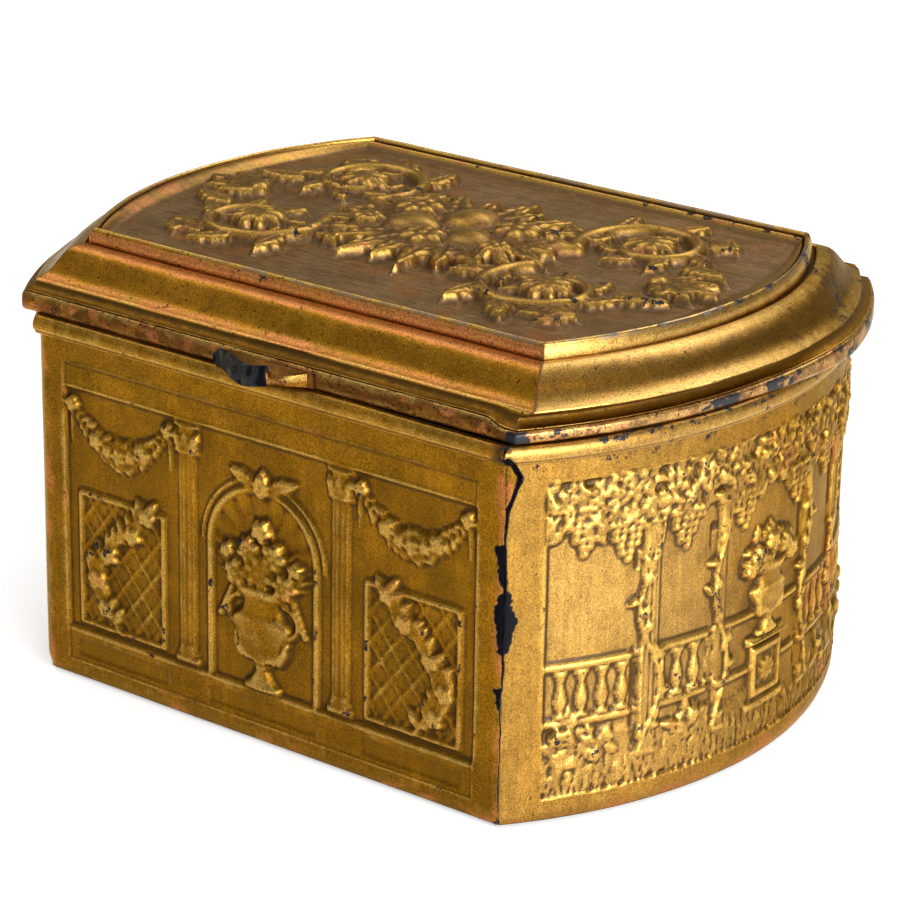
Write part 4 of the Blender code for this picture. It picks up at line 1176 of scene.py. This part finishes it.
def mouldProfile():
    # from the skirt over ledge, cove, cyma, groove and bead to the seat, then back underneath: (inset, height)
    skirt, inset, sheet = lidMould["skirt"], lidMould["ledgeInset"], tin["sheet"]
    coveWide, coveTall = lidMould["cove"]
    ledge = rimHigh[2] + lidMould["ledgeRise"]
    foot = ledge + lidMould["lip"]
    flare = (inset + coveWide - lidMould["undercut"], foot + coveTall + lidMould["riser"])
    shoulder = (flare[0] + lidMould["cyma"][0], flare[1] + lidMould["cyma"][1])
    brink = shoulder[0] + lidMould["shoulder"]
    bead = (brink + lidMould["groove"][0], shoulder[1] - lidMould["groove"][1])
    inner, top = bead[0] + lidMould["bead"][0], bead[1] + lidMould["bead"][1]
    groove, roll = bead[1] - lidMould["grooveExtra"], lidMould["roll"]
    seat, seatEnd = topLow[2] - lidMould["seatDrop"], inner + lidMould["seat"]
    outside = [(skirt, skirtFoot), (skirt, ledge), (inset, ledge), (inset, foot)]
    for turn in np.linspace(0, math.pi / 2, 7)[1:]:
        outside.append((inset + coveWide * math.sin(turn), foot + coveTall * (1 - math.cos(turn))))
    outside += cymaCurve(flare, shoulder)
    outside += [(brink, shoulder[1]), (brink + 0.1, groove), (bead[0], groove), (bead[0] - 0.02, groove + 0.35),
                (bead[0] + 0.06, top - 1.55), (bead[0] + 0.20, top - 0.95), (bead[0] + 0.42, top - 0.62)]
    for turn in np.linspace(0, math.pi, 9):
        outside.append((inner - 0.45 - roll * math.cos(turn), top - roll + roll * math.sin(turn)))
    outside += [(inner, seat), (seatEnd, seat)]
    inside = [(seatEnd, seat - sheet), (bead[0] + sheet, seat - sheet)]
    inside += cymaCurve(flare, shoulder, sheet)[::-1][::3]
    inside += [(skirt + sheet, flare[1] - sheet - coveTall / 2), (skirt + sheet, skirtFoot)]
    fine = refined(outside + inside[:1], lidMould["step"])
    fine = fine[:int(np.argmin(np.hypot(fine[:, 0] - inside[0][0], fine[:, 1] - inside[0][1])))]
    coarse = refined(inside + outside[:1], 1.5)[:len(inside) + 6]
    return rounded(np.concatenate([fine, coarse]), lidMould["soft"]), len(fine), bead, shoulder, flare, top


def makeLidMoulding():
    profile, outerCount, bead, shoulder, flare, top = mouldProfile()
    points = lidSweep(profile, lidMould, 111)
    crest, cavity = profileMarks(profile, 5)
    x, y, z = np.moveaxis(points, -1, 0)
    patchy = patchwork(x, y, z, 4.2, 1.3, 0.6, 113)
    # the parts of the profile
    inset, level = profile[:, :1], profile[:, 1:]
    outer = (np.arange(len(profile)) < outerCount)[:, None]
    onBead = ramp(bead[0] - 0.25, bead[0] - 0.05, inset) * ramp(bead[0] + 1.6, bead[0] + 1.3, inset)
    onRoll = onBead * ramp(top - 0.75, top - 0.5, level)
    onFillet = onBead * (1 - onRoll) * ramp(bead[1] - 0.2, bead[1] + 0.6, level) * outer
    onLedge = ramp(1.0, 0.5, inset) * outer
    share = (level - flare[1]) / lidMould["cyma"][1]  # 0 at the flare, 1 at the shoulder
    onCyma = ramp(flare[0] - 0.3, flare[0], inset) * ramp(shoulder[0] + 0.45, shoulder[0] + 0.2, inset) * outer
    onFlare = ramp(0.30, 0.08, share) * ramp(-0.05, 0.0, share) * onCyma
    onShoulder = ramp(0.74, 0.94, share) * onCyma
    inHollow = np.exp(-((share - 0.46) / 0.22) ** 2) * onCyma
    inCove = ramp(flare[1] + 0.1, flare[1] - 0.2, level) * outer
    # the shoulder, flare and fillet are painted lighter: painted highlight bands
    rubAndSheen = highest(onShoulder, onFlare, onFillet)
    # the parts of the lid
    atEnd = atEnds(x, y)
    front = (y < -30) * (1 - atEnd)
    rightEnd = atEnd * (x > 0)
    farEnd = atEnd * ramp(-8.0, 28.0, y)
    mitre = outer * (np.arange(points.shape[1]) == 0)  # the joint at the near corner
    smudge = rightEnd * ramp(2.0, 20.0, y) * ramp(0.45, 0.62, patchy) * onCyma
    chip = highest(onRoll * (0.22 + 0.45 * rightEnd) * ramp(0.36, 0.60, patchy),
                   onBead * rightEnd * farEnd * ramp(0.40, 0.60, patchy) * 0.6,
                   onFillet * ramp(0.60, 0.80, patchy) * 0.5, onLedge * ramp(0.55, 0.8, patchy) * 0.5,
                   onFlare * ramp(0.66, 0.88, patchy) * 0.45, smudge * 0.45)
    # copper on the fillet, shoulder and flare, most on the front: worn undercoat and a painted pink sheen
    warm = highest(onFillet * 0.9, onShoulder * 0.95, onFlare * 0.75) * (0.25 + 0.75 * front)
    # the hollow of the cyma is darker: patina, and painted shade that is stronger on the ends
    olive = 0.1 + 0.3 * ramp(0.4, 0.65, lumps(x, y, z, 7.0, 115)) + inHollow * (0.25 + 0.6 * atEnd) - 0.4 * rubAndSheen
    # a grey line along the bead's roll on the left: a painted reflection over some paint loss, put on through the
    # inside mark and the lining colour
    rollGlint = 0.6 * onRoll * ramp(0.35, 0.6, lumps(x, y, z, 1.8, 116)) * ramp(-30.0, -5.0, x)
    marks = {
        "crest": highest(crest, rubAndSheen * (0.35 + 0.2 * atEnd)), "cavity": highest(cavity, mitre * 0.7),
        "warm": highest(warm * outer, onLedge * 0.5, mitre), "chip": chip * outer,
        # the ends are painted paler towards the front, a painted highlight, and darker at the back, painted shade
        "toneAndPaintedLight": atEnd * ramp(30.0, -20.0, y) * (1 - inCove) * (1 - 0.6 * inHollow),
        "patinaAndShade": (olive + 0.6 * inCove + smudge + 0.25 * farEnd) * outer, "inside": highest(rollGlint, ~outer),
    }
    piece = ringPiece("lidMoulding", warped(points), True, marks, mouldingLacquer, 38)
    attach(piece, "lid")
    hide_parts("lid_moulding")


makeLidRim()
makeLidMoulding()
print("lid rim and moulding swept")


# picture panel in the lid

lidPicture = {
    "cell": 0.27, "rows": 236, "columns": 372, "seed": 81,
    "edge": 11.5,  # rim of the lid to the edge of the picture
    "gain": 1.22,  # share of the relief
    "dish": 1.1, "slope": 3.6,  # the ground is sunk, with a slope at its ends
    "scrollAt": (28.0, 13.5), "scrollSize": 10.6, "sprayAt": 39.0,
    # in the heap: fruit as across, up, length, width, turn, and flowers as across, up, size
    "fruit": ((-5.6, -2.4, 10.6, 8.8, 0.3), (6.2, -3.4, 10.2, 8.6, -0.4), (0.6, 5.0, 11.0, 9.0, 1.2)),
    "flowers": ((-9.6, 4.6, 4.1), (9.8, 4.4, 4.2), (0.2, -7.4, 4.0), (-12.2, -5.2, 2.9), (12.6, -5.4, 2.9)),
}


def pictureRelief():
    # a leafy scroll with a rosette in each quarter, a spray at each end
    for side in (-1, 1):
        for depth in (-1, 1):
            hand = side * depth
            x, y = side * lidPicture["scrollAt"][0], depth * lidPicture["scrollAt"][1]
            coil = spiral(x, y, math.atan2(-depth * 0.9, -side), 1.35, lidPicture["scrollSize"], -hand)
            stroke([(side * 12.0, depth * 2.4), (side * 16.5, depth * 3.2), coil[0]], 3.0, 1.6)
            acanthus(coil, 9.4, 1.6, -hand)
            stroke(coil, 3.1, 1.75, 0.5)
            rosette(x, y, 4.4, 1.5, 0.5)
            fan(side * 38.0, depth * 20.5, 9.0, 3.8, math.atan2(depth * 0.5, -side), 1.2, 0.0, 4.0)
            leaf(side * 37.0, depth * 9.5, 9.5, 4.6, math.atan2(-depth * 0.25, side), 1.4, 0.1, 5)
        fan(side * lidPicture["sprayAt"], 0, 11.5, 4.0, 0 if side > 0 else math.pi, 1.3, 0.2, 4.5,
            (-0.9, 0.9, -0.45, 0.45, 0.0))
        ball(side * lidPicture["sprayAt"], 0, 2.0, 1.4, 0.3)
    # heap of fruit and flowers in the middle
    for number in range(22):
        angle = 2 * math.pi * number / 22 + 0.1 * luck()
        reach = 15.5 + 2.5 * (number % 2)
        leaf(4.5 * math.cos(angle), 2.4 * math.sin(angle), reach, 5.6, angle, 1.7, 0.2, 5)
    foliage(0, 0, 25.0, 19.0, 70, 5.6, 2.1)
    for fruit in lidPicture["fruit"]:
        egg(*fruit, 2.3, 0.7)
    for flower in lidPicture["flowers"]:
        blossom(*flower, 6, 1.5, luck() * 3, 1.2)
    for x in (14.8, -15.0):
        grapes(x, 1.8, 7.5, 2.2, 1.3)


def atPoints(field, x, y):
    # a field of the press, read between its cells
    across = np.clip((x - press["u"][0]) / press["cell"], 0, len(press["u"]) - 1.001)
    up = np.clip((y - press["v"][0]) / press["cell"], 0, len(press["v"]) - 1.001)
    column, row = across.astype(int), up.astype(int)
    fx, fy = across - column, up - row
    low, high = [field[r, column] * (1 - fx) + field[r, column + 1] * fx for r in (row, row + 1)]
    return low * (1 - fy) + high * fy


def makePicture():
    newPress(lidPicture, topLow[0] - 1, topHigh[0] + 1, topLow[1] - 1, topHigh[1] + 1, lidPicture["seed"])
    pictureRelief()
    relief = lidPicture["gain"] * softened(press["h"])
    across, up = press["x"], press["y"]
    reach = endRadius + lidGrow - lidPicture["edge"]
    # a dished ground: upright at the long sides, sloping at the ends, most in their middle
    slope = lidPicture["slope"] * (0.25 + 0.75 * np.clip(1 - (up / topHigh[1]) ** 2, 0, 1))
    ends = endCentre + np.sqrt(np.clip(reach ** 2 - up ** 2, 1, None)) - np.abs(across)
    sides = np.minimum(up - topLow[1], topHigh[1] - up)
    fallen = np.minimum(ramp(0.0, 1.0, ends / slope), ramp(0.1, 0.9, sides))
    sunk = lidPicture["dish"] * fallen
    ground = tinRipple(across, up, 83) + 0.18 * (lumps(across, up, 0.0, 9.0, 85) - 0.5)
    ground += 0.09 * (lumps(across / 8, up + 1.2 * np.sin(across / 9.0), 0.0, 0.85, 86) - 0.5)
    face = relief * ramp(0.85, 1.0, fallen) + ground * ramp(0.0, 3.0, np.minimum(ends, sides)) - sunk
    onSlope = ramp(0.98, 0.85, fallen)
    raised = ramp(0.3, 1.1, relief) * (1 - onSlope)
    blotchy = ramp(0.35, 0.65, lumps(across, up, 5.0, 2.6, 89))
    marks = pressMarks(face, 87)
    # the slope of the dish is painted lighter towards the back: a painted sheen
    marks["crest"] = highest(marks["crest"], onSlope * (0.35 + 0.35 * ramp(-5.0, 20.0, up)))
    marks["toneAndPaintedLight"] = highest(raised, 0.9 * onSlope)
    marks["patinaAndShade"] = marks["patinaAndShade"] * 0.4 + 0.3 * raised
    # towards the front the slope is darker and browner
    marks["patinaAndShade"] += onSlope * (0.3 + 0.9 * blotchy * ramp(22.0, -8.0, up))
    warm = 0.4 * ramp(0.4, 0.65, lumps(across, up, 3.0, 5.0, 88)) + 0.25 * ramp(-20.0, -32.0, up)
    marks["warm"] = highest(warm, 0.8 * onSlope * (1 - blotchy) * ramp(15.0, -15.0, up))
    # the sheet is cut to the bowed ends
    rows, columns = lidPicture["rows"], lidPicture["columns"]
    y = np.linspace(topLow[1], topHigh[1], rows)[:, None] * np.ones((1, columns))
    x = np.linspace(-1, 1, columns)[None, :] * (endCentre + np.sqrt(reach ** 2 - y ** 2))
    outer = np.stack([x, y, topLow[2] + tin["sheet"] + atPoints(face, x, y)], -1)
    inner = np.stack([x, y, topLow[2] - atPoints(sunk, x, y)], -1)
    innerRows = [0, 3] + list(range(12, rows - 4, 12)) + [rows - 4, rows - 1]
    sampled = {mark: atPoints(values, x, y) for mark, values in marks.items()}
    piece = sheetPiece("lidPicture", warped(outer), warped(inner[innerRows]), sampled, brownPicture, innerRows)
    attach(piece, "lid")
    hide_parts("lid_top_panel")


makePicture()
print("lid picture pressed")


# half-round band under the lid

bodyBand = {
    "step": 0.2, "endCells": 180, "frontCells": 150, "closeCells": 15, "closeShare": 0.03, "swell": 0.9,
    "stop": 44.6,  # how far back it reaches along the ends
    "score": 0.16,  # fine line below the round
    "split": (0.36, 1.2),  # half width and depth of the split at the front right corner
    "seamFront": -41.0, "seamEnd": -23.5, "seamHalf": 0.3, "proud": 0.14,  # one strip laps over the other
    "sag": 0.15,
}


def bandSweep(low, top):
    # half-round profile, carried round the left end, the front and the right end
    outline = [(tin["sheet"], top), (tin["sheet"], low)]
    for turn in np.linspace(-math.pi / 2, math.pi / 2, 13):
        outline.append((-bodyBand["swell"] * math.cos(turn), (low + top) / 2 + (top - low) / 2 * math.sin(turn)))
    profile = refined(outline, bodyBand["step"])
    line = bodyBand["score"]
    profile[:, 0] += line * np.exp(-((profile[:, 1] - low - 0.55) / line) ** 2) * (profile[:, 0] < 0.3)
    # closer cells beside the split
    few, part = bodyBand["closeCells"], bodyBand["closeShare"]
    endShare, frontShare = [
        np.concatenate([np.linspace(0, part, few + 1), np.linspace(part, 1, bodyBand[cells] - few)[1:]])
        for cells in ("endCells", "frontCells")]
    frontShare = 1 - frontShare[::-1]
    leftShare = np.linspace(0, 1, bodyBand["endCells"] + 1)
    loops = []
    for inset in profile[:, 0]:
        right, left = [endArc(-inset, inset - halfDepth, bodyBand["stop"], share)
                       for share in (endShare, leftShare)]
        left = left[::-1] * (-1, 1)
        loops.append(np.concatenate([left, left[-1] + (right[0] - left[-1]) * frontShare[1:-1, None], right]))
    return profile, swept(profile, np.stack(loops))


def makeBand():
    low, top = bandLow[2], bandHigh[2]
    profile, points = bandSweep(low, top)
    x, y, z = np.moveaxis(points, -1, 0)
    outer = ramp(0.5, -0.1, profile[:, :1])
    onFront = (y < -halfDepth + 0.5) & (x < halfLength + 0.2)
    fold = np.where(onFront, x - halfLength, np.hypot(x - halfLength, y + halfDepth))
    fold = np.where(x > 0, fold, -90.0)
    run = 0.15 + 0.75 * (top - z) / (top - low) + 0.3 * (lumps(z, 0.0, 0.0, 0.8, 125) - 0.5)
    splitHalf, splitDepth = bodyBand["split"]
    split = np.exp(-((fold - run) / splitHalf) ** 4)
    fromSeam, seamHalf, rightSide = y - bodyBand["seamEnd"], bodyBand["seamHalf"], x > 40
    seamFront = np.exp(-((x - bodyBand["seamFront"]) / seamHalf) ** 2) * onFront
    seamEnd = np.exp(-(fromSeam / seamHalf) ** 2) * rightSide
    proud = bodyBand["proud"] * ramp(0.2, -0.2, fromSeam) * rightSide * ~onFront
    shift = outer * (proud - splitDepth * split - 0.2 * seamFront)
    points[..., 0] += shift * np.where(onFront, 0.0, 0.8)
    points[..., 1] -= shift * np.where(onFront, 1.0, 0.5)
    sag = ramp(8.0, 45.0, x) * ramp(-26.0, -42.0, y)
    points[..., 2] -= bodyBand["sag"] * sag * (z - low) / (top - low)
    points[..., 2] += 0.07 * (lumps(x, y, z, 6.0, 121) - 0.5)
    crest, cavity = profileMarks(profile, 5)
    patchy = patchwork(x, y, z, 3.2, 0.9, 0.6, 123)
    atEnd = ramp(50.0, 54.0, np.abs(x)) * ramp(0.46, 0.62, patchy) * ramp(top - 1.6, top - 0.5, z)
    chip = highest(ramp(0.66, 0.86, patchy) * 0.5, 2.0 * split, atEnd * 0.6,
                   ramp(1.2, 0.2, np.abs(fold + 0.3)) * ramp(0.5, 0.65, patchy) * 0.6 * onFront)
    stain = ramp(3.4, 0.4, np.abs(fold + 0.6)) * (0.4 + 0.6 * patchy) * onFront
    marks = {
        "crest": crest, "cavity": highest(cavity, outer * highest(stain, seamFront, seamEnd)),
        "warm": outer * 0.6 * ramp(6.0, 0.5, np.abs(fold)) * onFront, "chip": outer * chip,
        # the ends of the band are painted paler towards the front, a painted highlight, and darker towards the
        # back, painted shade
        "toneAndPaintedLight": ~onFront * (0.25 + 0.75 * ramp(20.0, -25.0, y)), "patinaAndShade": ~onFront * 0.8 * ramp(-5.0, 30.0, y),
        "inside": profile[:, :1] > tin["sheet"] - 0.05,
    }
    piece = ringPiece("bodyRimBand", points, False, marks, goldLacquer)
    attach(piece, "body")
    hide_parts("body_rim_band")


makeBand()
print("body band swept")


# thumb lift: a bow of sheet, its left half bare with a hollow behind the edge, its right half lower and gilt

thumbLift = {
    "columns": 150, "parts": 4,  # cells along the bow and along each line of its outline
    "shift": 0.55, "half": 9.35, "split": 0.36, "reach": 3.7,
    # heights of the wall's foot and crown along the bow
    "foot": ([-1, -0.75, -0.5, -0.15, 0.34, 0.38, 1], [0.2, -0.6, -1.0, -1.0, -0.1, 0.2, 1.2]),
    "crown": ([-1, -0.86, -0.6, 0.0, 0.34, 0.38, 0.6, 1], [1.6, 2.6, 3.0, 2.7, 3.2, 1.6, 1.75, 2.3]),
}


def makeThumbLift():
    back, low, split = liftHigh[1], liftLow[2], thumbLift["split"]
    along = np.linspace(-1, 1, thumbLift["columns"])
    gilt = ramp(split - 0.012, split + 0.012, along)
    swell = 0.4 - 1.3 * ramp(0.55, 1.0, along)
    bowed = 0.5 + 0.5 * np.cos(math.pi * np.minimum(along - 0.08, 1.0))
    swell += (thumbLift["reach"] - 0.25 * gilt) * bowed ** 0.7
    foot, crown = [low + np.interp(along, *thumbLift[name]) for name in ("foot", "crown")]
    plate = np.minimum(low + 1.3, crown - 0.2)  # behind the wall
    outline = [(0.0, low + 0.05), (0.62, low + 0.05), (0.74, foot + 0.1), (0.86, foot), (0.97, foot + 0.25),
               (1.0, foot + 0.6), (1.0, crown - 0.5), (0.985, crown - 0.25), (0.93, crown - 0.05), (0.86, crown),
               (0.79, crown - 0.1), (0.75, np.maximum(crown - 0.4, plate)), (0.73, plate + 0.05), (0.6, plate),
               (0.3, plate + 0.4), (0.06, low + 2.3), (0.0, low + 2.4)]
    across = thumbLift["shift"] + along * thumbLift["half"]
    sections, outward = [], []
    for (share, level), (nextShare, nextLevel) in zip(outline, outline[1:] + outline[:1]):
        for part in np.linspace(0, 1, thumbLift["parts"] + 1)[:-1]:
            out = share + (nextShare - share) * part
            height = (level + (nextLevel - level) * part) * np.ones(len(along))
            outward.append([out])
            sections.append(np.stack([across, back - out * swell, height], -1))
    sections, outward = np.array(sections), np.array(outward)
    x, y, z = np.moveaxis(sections, -1, 0)
    ragged = lumps(x, y, z, 0.8, 131) - 0.5
    bare = ramp(0.012, -0.012, along - split) * ramp(0.62, 0.74, outward + ragged * 0.1)
    proud = ramp(0.78, 0.95, outward)
    blotch = ramp(0.3, 0.8, lumps(x, y, z, 1.1, 134) + 0.2 * along)
    scuffed = bare * ramp(0.42, 0.75, lumps(x, y, z, 0.9, 135)) * ramp(0.3, -0.4, along)
    marks = {
        "crest": proud * 0.9 * (1 - bare), "cavity": ramp(0.78, 0.5, outward) * 0.55, "warm": proud * 0.3,
        "chip": highest(bare * (0.9 + 0.9 * blotch), proud * ramp(0.6, 0.8, lumps(x, y, z, 1.4, 133)) * 0.45),
        "inside": 0.3 * scuffed,
    }
    piece = ringPiece("thumbLift", warped(sections), False, marks, wornRim)
    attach(piece, "lid")
    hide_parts("thumb_lift")


makeThumbLift()
print("thumb lift bent")

# pieces that keep their solid shape take the finishes
kept = {"body_hinge_leaf": hingeLacquer, "lid_hinge_leaf": hingeLacquer, "hinge_pin": bareTray,
        "bottom_tray": bareTray, "front_left_corner_strip": hingeLacquer, "front_right_corner_strip": darkStrip,
        "back_left_corner_strip": hingeLacquer, "back_right_corner_strip": hingeLacquer}
for node, finish in kept.items():
    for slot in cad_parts[node].material_slots:
        slot.material = finish


# floor, light and camera

studio = {
    "floorHalf": 6.0, "floorDrop": 0.0002, "floorColour": (0.80, 0.80, 0.80), "floorRough": 0.9,
    "floorGlow": 0.45,  # seen by the camera and in reflections only
    "sky": (0.30, 0.14, 0.75),  # horizon, halfway up and overhead
    # lamps: place, height they aim at, size, power
    "keyLamp": ((0.835, -0.372, 0.30), 0.03, (0.75, 0.6), 13.0),
    "fillLamp": ((-0.7, -0.75, 0.6), 0.03, (0.7, 0.7), 1.0),
    "topLamp": ((0.07, 0.66, 0.83), 0.05, (0.8, 0.35), 3.4),
    "sheenLamp": ((-0.63, 0.05, 0.92), 0.05, (0.35, 0.8), 1.9),
}


def makeFloor():
    wide = studio["floorHalf"]
    mesh = bpy.data.meshes.new("studioFloor")
    mesh.from_pydata([(-wide, -wide, 0), (wide, -wide, 0), (wide, wide, 0), (-wide, wide, 0)], [], [(0, 1, 2, 3)])
    floor = addObject("studioFloor", mesh)
    floor.location = (0, 0, -studio["floorDrop"])
    paper = bpy.data.materials.new("floorPaper")
    paper.use_nodes = True
    tree = paper.node_tree
    shader = tree.nodes["Principled BSDF"].inputs
    shader["Base Color"].default_value = (*studio["floorColour"], 1)
    shader["Roughness"].default_value = studio["floorRough"]
    shader["Emission Color"].default_value = (1, 1, 1, 1)
    add, times, most = nodeTools(tree, "add", "times", "most")
    rays = add("ShaderNodeLightPath").outputs
    seen = most(most(rays["Is Camera Ray"], rays["Is Glossy Ray"]), rays["Is Transmission Ray"])
    tree.links.new(times(seen, studio["floorGlow"]), shader["Emission Strength"])
    mesh.materials.append(paper)


def makeLight():
    world = bpy.data.worlds.new("studioWorld")
    bpy.context.scene.world = world
    world.use_nodes = True
    sky = world.node_tree
    add, plus, step = nodeTools(sky, "add", "plus", "step")
    way = add("ShaderNodeTexCoord").outputs["Generated"]
    height = add("ShaderNodeSeparateXYZ", {"Vector": way}).outputs["Z"]
    low, middle, high = studio["sky"]
    glow = plus(step(height, 0.15, 0.55, low, middle), step(height, 0.62, 0.95, 0.0, high - middle))
    sky.links.new(glow, sky.nodes["Background"].inputs["Strength"])
    sky.nodes["Background"].inputs["Color"].default_value = (1, 1, 1, 1)
    for name in ("keyLamp", "fillLamp", "topLamp", "sheenLamp"):
        place, aim, size, power = studio[name]
        data = bpy.data.lights.new(name, "AREA")
        data.shape = "RECTANGLE"
        data.size, data.size_y = size
        data.energy = power
        lamp = addObject(name, data)
        lamp.location = place
        lamp.rotation_euler = (Vector((0, 0, aim)) - Vector(place)).to_track_quat("-Z", "Y").to_euler()


photoView = {
    "azimuth": 37.62, "elevation": 20.76, "distance": 551.16, "roll": 0.79, "target": (-4.3, -2.65, 33.34),
    "frame": 900, "focal": 3450.95, "middle": (415.27, 458.22),  # in pixels
    "sensor": 36, "clip": (0.01, 30),
}


def makeCamera():
    azimuth, elevation, roll = [math.radians(photoView[name]) for name in ("azimuth", "elevation", "roll")]
    back = Vector((math.sin(azimuth) * math.cos(elevation), -math.cos(azimuth) * math.cos(elevation),
                   math.sin(elevation)))
    right = Vector((0, 0, 1)).cross(back).normalized()
    up = back.cross(right)
    right, up = right * math.cos(roll) + up * math.sin(roll), up * math.cos(roll) - right * math.sin(roll)
    spot = (Vector(photoView["target"]) + back * photoView["distance"]) * mm
    size, middle = photoView["frame"], photoView["middle"]
    data = bpy.data.cameras.new("photoCamera")
    data.sensor_width = photoView["sensor"]
    data.lens = photoView["focal"] / size * photoView["sensor"]
    data.shift_x = (size / 2 - middle[0]) / size
    data.shift_y = (middle[1] - size / 2) / size
    data.clip_start, data.clip_end = photoView["clip"]
    camera = addObject("photoCamera", data)
    camera.matrix_world = Matrix.Translation(spot) @ Matrix((right, up, back)).transposed().to_4x4()
    bpy.context.scene.camera = camera


makeFloor()
makeLight()
makeCamera()
bpy.context.scene.view_settings.view_transform = "Standard"
print("studio set up")
